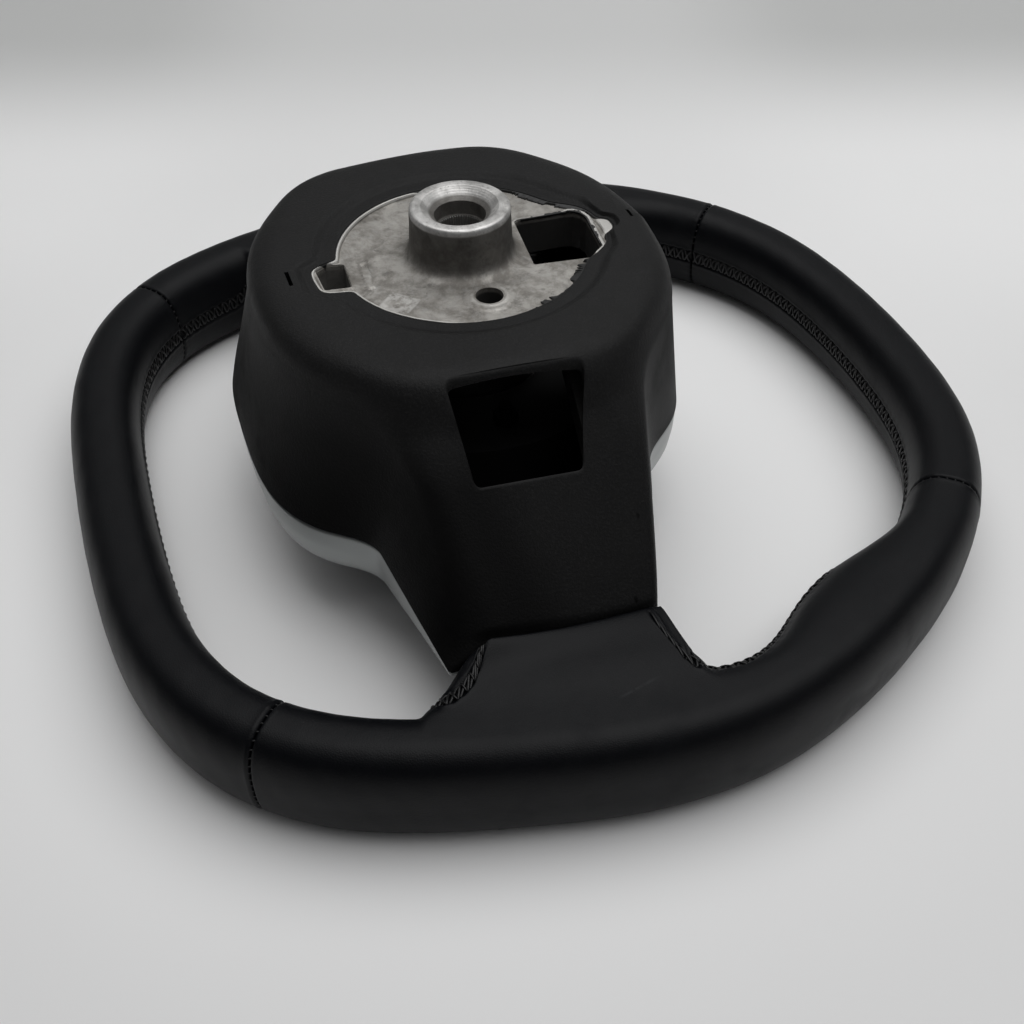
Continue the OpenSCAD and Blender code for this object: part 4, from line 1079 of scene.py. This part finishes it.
# ---------------------------------------------------------------- horn pad, cushion, panels
pa = np.arange(0, 360, 2.0)
PRa = np.interp(pa, COL, PR, period=360)
rp = np.minimum(PRa - 13, 76 + 14 * sstep(36, 50, np.abs(fold(pa))))
rp = (np.roll(rp, 1) + 2 * rp + np.roll(rp, -1)) / 4
zb = TRIM_Z + 0.5
bul = 15.0
f = np.concatenate([np.linspace(0.02, 0.86, 34), [0.872, 0.88, 0.888, 0.9], np.linspace(0.92, 0.972, 6)])
dome = np.interp(f, [0, 0.15, 0.3, 0.45, 0.6, 0.7, 0.8, 0.88, 0.94, 0.975], [1.0, 0.99, 0.955, 0.885, 0.77, 0.65, 0.475, 0.32, 0.185, 0.105])
ker = np.exp(-np.linspace(-2, 2, 5) ** 2)
dome = np.convolve(np.pad(dome, 2, mode="edge"), ker / ker.sum(), "valid")
groove = 0.35 * np.exp(-((f - 0.88) / 0.007) ** 2)
R = [rp * k for k in f]
Z = [zb - bul * d + g + 0 * rp for d, g in zip(dome, groove)]
for a_, b_ in ((1.5, -1.35), (0.8, -0.95), (0.3, -0.35), (0.08, 0.5), (0.03, 2.5), (0.03, 8.0), (0.03, 11.45), (0.3, 11.5), (2.3, 11.5), (2.57, 11.4), (2.57, 5.0), (4, 3.0)):
    R.append(rp - a_)
    Z.append(zb + b_ + 0 * rp)
for k, d in ((0.9, 0.27), (0.8, 0.45), (0.6, 0.74), (0.45, 0.86), (0.3, 0.93), (0.1, 0.975), (0.03, 0.975)):
    R.append(rp * k - (2 if k > 0.5 else 0))
    Z.append(zb - bul * d + 3 + 0 * rp)
between_poles("horn_pad_skin", np.array(R), np.array(Z), pa, M["pad_plastic"], body="horn_module", slot="pad_plastic", replaces=("horn_pad",), sharp=45)

prof = np.array([[0.3, -72], [31, -72], [38.5, -69], [38.5, -63], [57, -63], [59.4, -66], [59.4, -88], [54, -92.5], [44, -98], [30, -102.5], [15, -104.6], [0.3, -105]])
seg = np.concatenate([[0], np.cumsum(np.hypot(*np.diff(prof, axis=0).T))])
s_ = np.linspace(0, seg[-1], 150)
cr, cz = np.interp(s_, seg, prof[:, 0]), np.interp(s_, seg, prof[:, 1])
ker = np.exp(-np.linspace(-1.8, 1.8, 7) ** 2)
ker /= ker.sum()
cr, cz = np.convolve(np.pad(cr, 3, mode="edge"), ker, "valid"), np.convolve(np.pad(cz, 3, mode="edge"), ker, "valid")
nr_, nz_ = np.gradient(cz), -np.gradient(cr)
ln_ = np.hypot(nr_, nz_)
nr_, nz_ = -nr_ / ln_, -nz_ / ln_      # outwards of a line that runs outwards along the top
ca = np.arange(0, 360, 1.5)
fade = sstep(2, 22, cr)[:, None]
pleat = (0.5 + 0.5 * np.sin(9 * ca * D + 2.2 * np.sin(2 * ca * D) + 0.13 * cz[:, None])) ** 3
layer = (0.5 + 0.5 * np.sin(2 * math.pi * s_ / 3.1))[:, None] ** 2
sink = 0.45 + fade * (0.75 * pleat + 0.4 * layer + 0.25 * (0.5 + 0.5 * np.sin(23 * ca * D + 0.2 * s_[:, None])))
test = np.sign(np.sum((cr - cr.mean()) * nr_ + (cz - cz.mean()) * nz_))
cushion = between_poles("airbag_cushion_folded", np.maximum(cr[:, None] - test * nr_[:, None] * sink, 0.2), cz[:, None] - test * nz_[:, None] * sink, ca, M["cushion_fabric"],
                        body="horn_module", slot="cushion_fabric", replaces=("airbag_cushion",), sharp=60)

# soft edges on the small moulded parts
for node, wid in [(n_, 0.45) for n_ in frame["nodes"] if n_.startswith(("button_", "switch_panel_"))] + [("airbag_housing", 0.5)]:
    md = frame["nodes"][node].modifiers.new("edge", "BEVEL")
    md.width, md.segments, md.limit_method, md.angle_limit = wid * 0.001, 2, "ANGLE", math.radians(50)
    md.use_clamp_overlap = True


def prism(poly, z0, z1):
    poly = np.asarray(poly, float)
    m_ = len(poly)
    V = np.concatenate([np.column_stack([poly, np.full(m_, z0)]), np.column_stack([poly, np.full(m_, z1)])])
    j = np.arange(m_)
    j1 = (j + 1) % m_
    k = np.arange(1, m_ - 1)
    return V, [np.stack([j, j1, m_ + j1, m_ + j], -1), np.stack([0 * k, k + 1, k], -1), np.stack([0 * k + m_, m_ + k, m_ + k + 1], -1)]


def joined(parts):
    V, out, base = [], [], 0
    for v, fs in parts:
        V.append(v)
        out += [np.asarray(f_) + base for f_ in fs]
        base += len(v)
    q3 = [f_ for f_ in out if f_.shape[1] == 3]
    q4 = [f_ for f_ in out if f_.shape[1] == 4]
    return np.concatenate(V), [np.concatenate(q) for q in (q4, q3) if q]


def bar(cx, cy, w_, h_): return [[cx - w_ / 2, cy - h_ / 2], [cx + w_ / 2, cy - h_ / 2], [cx + w_ / 2, cy + h_ / 2], [cx - w_ / 2, cy + h_ / 2]]
def tri(cx, cy, r_, a_): return [[cx + r_ * math.cos((a_ + k * 120) * D), cy + r_ * math.sin((a_ + k * 120) * D)] for k in range(3)]


KEYS = ((84, 9.5, 18, 10.5), (84, -29.5, 24, 11.5), (99, -11, 9, 15))
for side_, sg in (("left", 1), ("right", -1)):
    for kind_, b in zip(("upper", "lower", "side"), KEYS):
        cx, cy = b[0] + b[2] / 2, b[1] + b[3] / 2
        if kind_ == "upper":
            shapes = [bar(cx - 3.4, cy, 3.4, 0.6), bar(cx + 3.4, cy, 3.4, 0.6), bar(cx + 3.4, cy + 1.0, 0.6, 1.4), bar(cx + 3.4, cy - 1.0, 0.6, 1.4)]
        elif kind_ == "lower":
            shapes = [tri(cx - 2.6, cy, 1.5, 180), tri(cx + 2.6, cy, 1.5, 0)]
        else:
            shapes = [tri(cx, cy, 1.3, 90)]
        V, Fs = joined([prism(q, -98.56, -98.40) for q in shapes])
        if sg < 0:
            V = mirror_x(V)
        solid("symbol_%s_%s" % (side_, kind_), V, Fs, M["print"], body="button_%s_%s" % (side_, kind_), slot="button_plastic", sharp=30)


# ---------------------------------------------------------------- front trim
def build_trim():
    n = len(COL)
    r, zp = PR, PZ
    h = zp - TRIM_Z
    zi = np.minimum(TRIM_Z + 2.9, zp - 0.7)
    key = np.array([[0.1, 0.02], [0.5, 0.45], [1.7, 0.8], [2.7, 0.93], [4.3, 1.0]])
    pr = [r - 2.8, r - 0.7, r - 0.25]
    pz = [zp - 0.35, zp - 0.35, zp - 0.5]
    u = np.linspace(0.04, 1, 14)
    kk = np.interp(u, [0, 0.45, 0.8, 0.93, 1.0], [0.1, 0.5, 1.6, 2.6, 4.2])
    for a, b in zip(u, kk):
        pr.append(r - b)
        pz.append(zp - a * h)
    for a, b in ((6.5, 0.02), (11.2, 0.25), (11.8, 0.5), (12.0, 0.9)):
        pr.append(r - a)
        pz.append(TRIM_Z + b + 0 * r)
    pr += [r - 12, r - 4.8]
    pz += [zi, zi]
    R, Z = np.stack(pr, 1), np.stack(pz, 1)
    V = np.stack([R * cs(COL)[:, None], R * sn(COL)[:, None], Z], -1)
    return V


T = build_trim()
make("front_trim_ring", T.reshape(-1, 3), grid_faces(T.shape[0], T.shape[1], wrap_n=True, wrap_m=True), M["trim_silver"], slot="trim_silver",
     replaces=("front_trim",), sharp=40)

# ---------------------------------------------------------------- stage, light, camera
CAM_C = np.array([384.86, -116.10, 236.64])
CAM_R = (0.33641, 0.94169, -0.00716)
CAM_U = (-0.64764, 0.23687, 0.72419)
CAM_B = (0.68366, -0.23899, 0.68956)
lowest = -127.72
view = np.array([-CAM_B[0], -CAM_B[1]])
view /= np.linalg.norm(view)
side = np.array([-view[1], view[0]])


def build_stage():
    m = Mat("floor_pale")
    n = m.noise(3.0, 1)
    z = m.xyz()[2]
    xx, yy, _ = m.xyz()
    lat = m.math("ADD", m.math("MULTIPLY", xx, float(side[0])), m.math("MULTIPLY", yy, float(side[1])))
    col = m.blend(n, (0.775, 0.775, 0.775), (0.805, 0.805, 0.805))
    # painted light on the floor: brighter in the middle, towards +Y and in a band a little further back
    col = m.blend(m.soft(m.radius(), 0.30, 0.14), col, (0.93, 0.93, 0.93))
    col = m.blend(m.math("MULTIPLY", m.soft(lat, 0.05, -0.45), 0.5), col, (0.90, 0.90, 0.90))
    far = m.math("ADD", m.math("MULTIPLY", xx, float(view[0])), m.math("MULTIPLY", yy, float(view[1])))
    outer = m.soft(m.math("ABSOLUTE", lat), 0.10, 0.24)
    col = m.blend(m.math("MULTIPLY", m.math("MULTIPLY", m.soft(far, 0.02, 0.22), 0.85), m.math("ADD", 0.55, m.math("MULTIPLY", outer, 0.45))), col, (0.95, 0.95, 0.95))
    # painted shade: darker further back on the floor and darker up the backdrop, most at the sides
    painted_shade_far = m.math("MULTIPLY", m.soft(far, 0.27, 0.46), m.math("ADD", 0.62, m.math("MULTIPLY", outer, 0.38)))
    col = m.blend(painted_shade_far, col, (0.585, 0.59, 0.585))
    col = m.blend(m.math("MULTIPLY", m.soft(z, -0.10, 0.12), m.math("ADD", 0.45, m.math("MULTIPLY", m.soft(m.math("ABSOLUTE", lat), 0.10, 0.55), 0.55))), col, (0.42, 0.425, 0.42))
    m.done(col, 0.85, 0.0, None, spec=0.2)
    prof = [(x, 0) for x in np.linspace(-520, 520, 12)]
    for a in np.linspace(0, 82, 24)[1:]:
        prof.append((520 + 520 * math.sin(a * D), 520 - 520 * math.cos(a * D)))
    prof.append((1120, 1500))
    w = np.linspace(-1500, 1500, 13)
    V = np.array([[view[0] * a + side[0] * b, view[1] * a + side[1] * b, lowest + c] for a, c in prof for b in w])
    make("floor", V, grid_faces(len(prof), len(w), flip=True), m.m, stage=True)


build_stage()


def area(name, loc, size, energy, target=(0, 0, -0.08), size_y=None, color=(1, 1, 1)):
    d = bpy.data.lights.new(name, "AREA")
    d.energy, d.size, d.color = energy, size, color
    if size_y:
        d.shape, d.size_y = "RECTANGLE", size_y
    o = bpy.data.objects.new(name, d)
    o.location = loc
    o.rotation_euler = (Vector(target) - Vector(loc)).to_track_quat("-Z", "Y").to_euler()
    bpy.context.scene.collection.objects.link(o)
    return o


def along_view(a, b, z): return (view[0] * a + side[0] * b, view[1] * a + side[1] * b, z)


area("light_top", along_view(0.30, -0.24, 1.25), 1.9, 13.2, target=along_view(0.12, -0.05, -0.12), size_y=1.6)

w = bpy.data.worlds.new("studio")
bpy.context.scene.world = w
w.use_nodes = True
nt = w.node_tree
bg = next(n for n in nt.nodes if n.type == "BACKGROUND")
tc = nt.nodes.new("ShaderNodeTexCoord")
sp = nt.nodes.new("ShaderNodeSeparateXYZ")
rp = nt.nodes.new("ShaderNodeValToRGB")
nt.links.new(tc.outputs["Generated"], sp.inputs[0])
nt.links.new(sp.outputs[2], rp.inputs[0])
nt.links.new(rp.outputs[0], bg.inputs[0])
e = rp.color_ramp.elements
e[0].position, e[0].color = 0.0, (0.05, 0.05, 0.052, 1)
e[1].position, e[1].color = 0.9, (1.0, 1.0, 1.0, 1)
x = e.new(0.35)
x.color = (0.055, 0.055, 0.058, 1)
x = e.new(0.62)
x.color = (0.55, 0.55, 0.56, 1)
# darker towards the front left
dt = nt.nodes.new("ShaderNodeVectorMath")
dt.operation = "DOT_PRODUCT"
nt.links.new(tc.outputs["Generated"], dt.inputs[0])
dt.inputs[1].default_value = (*along_view(0.83, -0.55, 0.0)[:2], 0.35)
mr = nt.nodes.new("ShaderNodeMapRange")
mr.interpolation_type = "SMOOTHSTEP"
for i, v in enumerate((-0.45, 0.35, 0.16, 0.74)):
    mr.inputs[i + 1].default_value = v
nt.links.new(dt.outputs["Value"], mr.inputs[0])
nt.links.new(mr.outputs[0], bg.inputs[1])

cam = bpy.data.cameras.new("camera")
cam.lens, cam.sensor_width, cam.clip_end = 45.05, 36.0, 20.0
co = bpy.data.objects.new("camera", cam)
bpy.context.scene.collection.objects.link(co)
co.matrix_world = Matrix([[CAM_R[i], CAM_U[i], CAM_B[i], CAM_C[i] * 0.001] for i in range(3)] + [[0, 0, 0, 1]])
bpy.context.scene.camera = co
bpy.context.scene.view_settings.view_transform = "Standard"
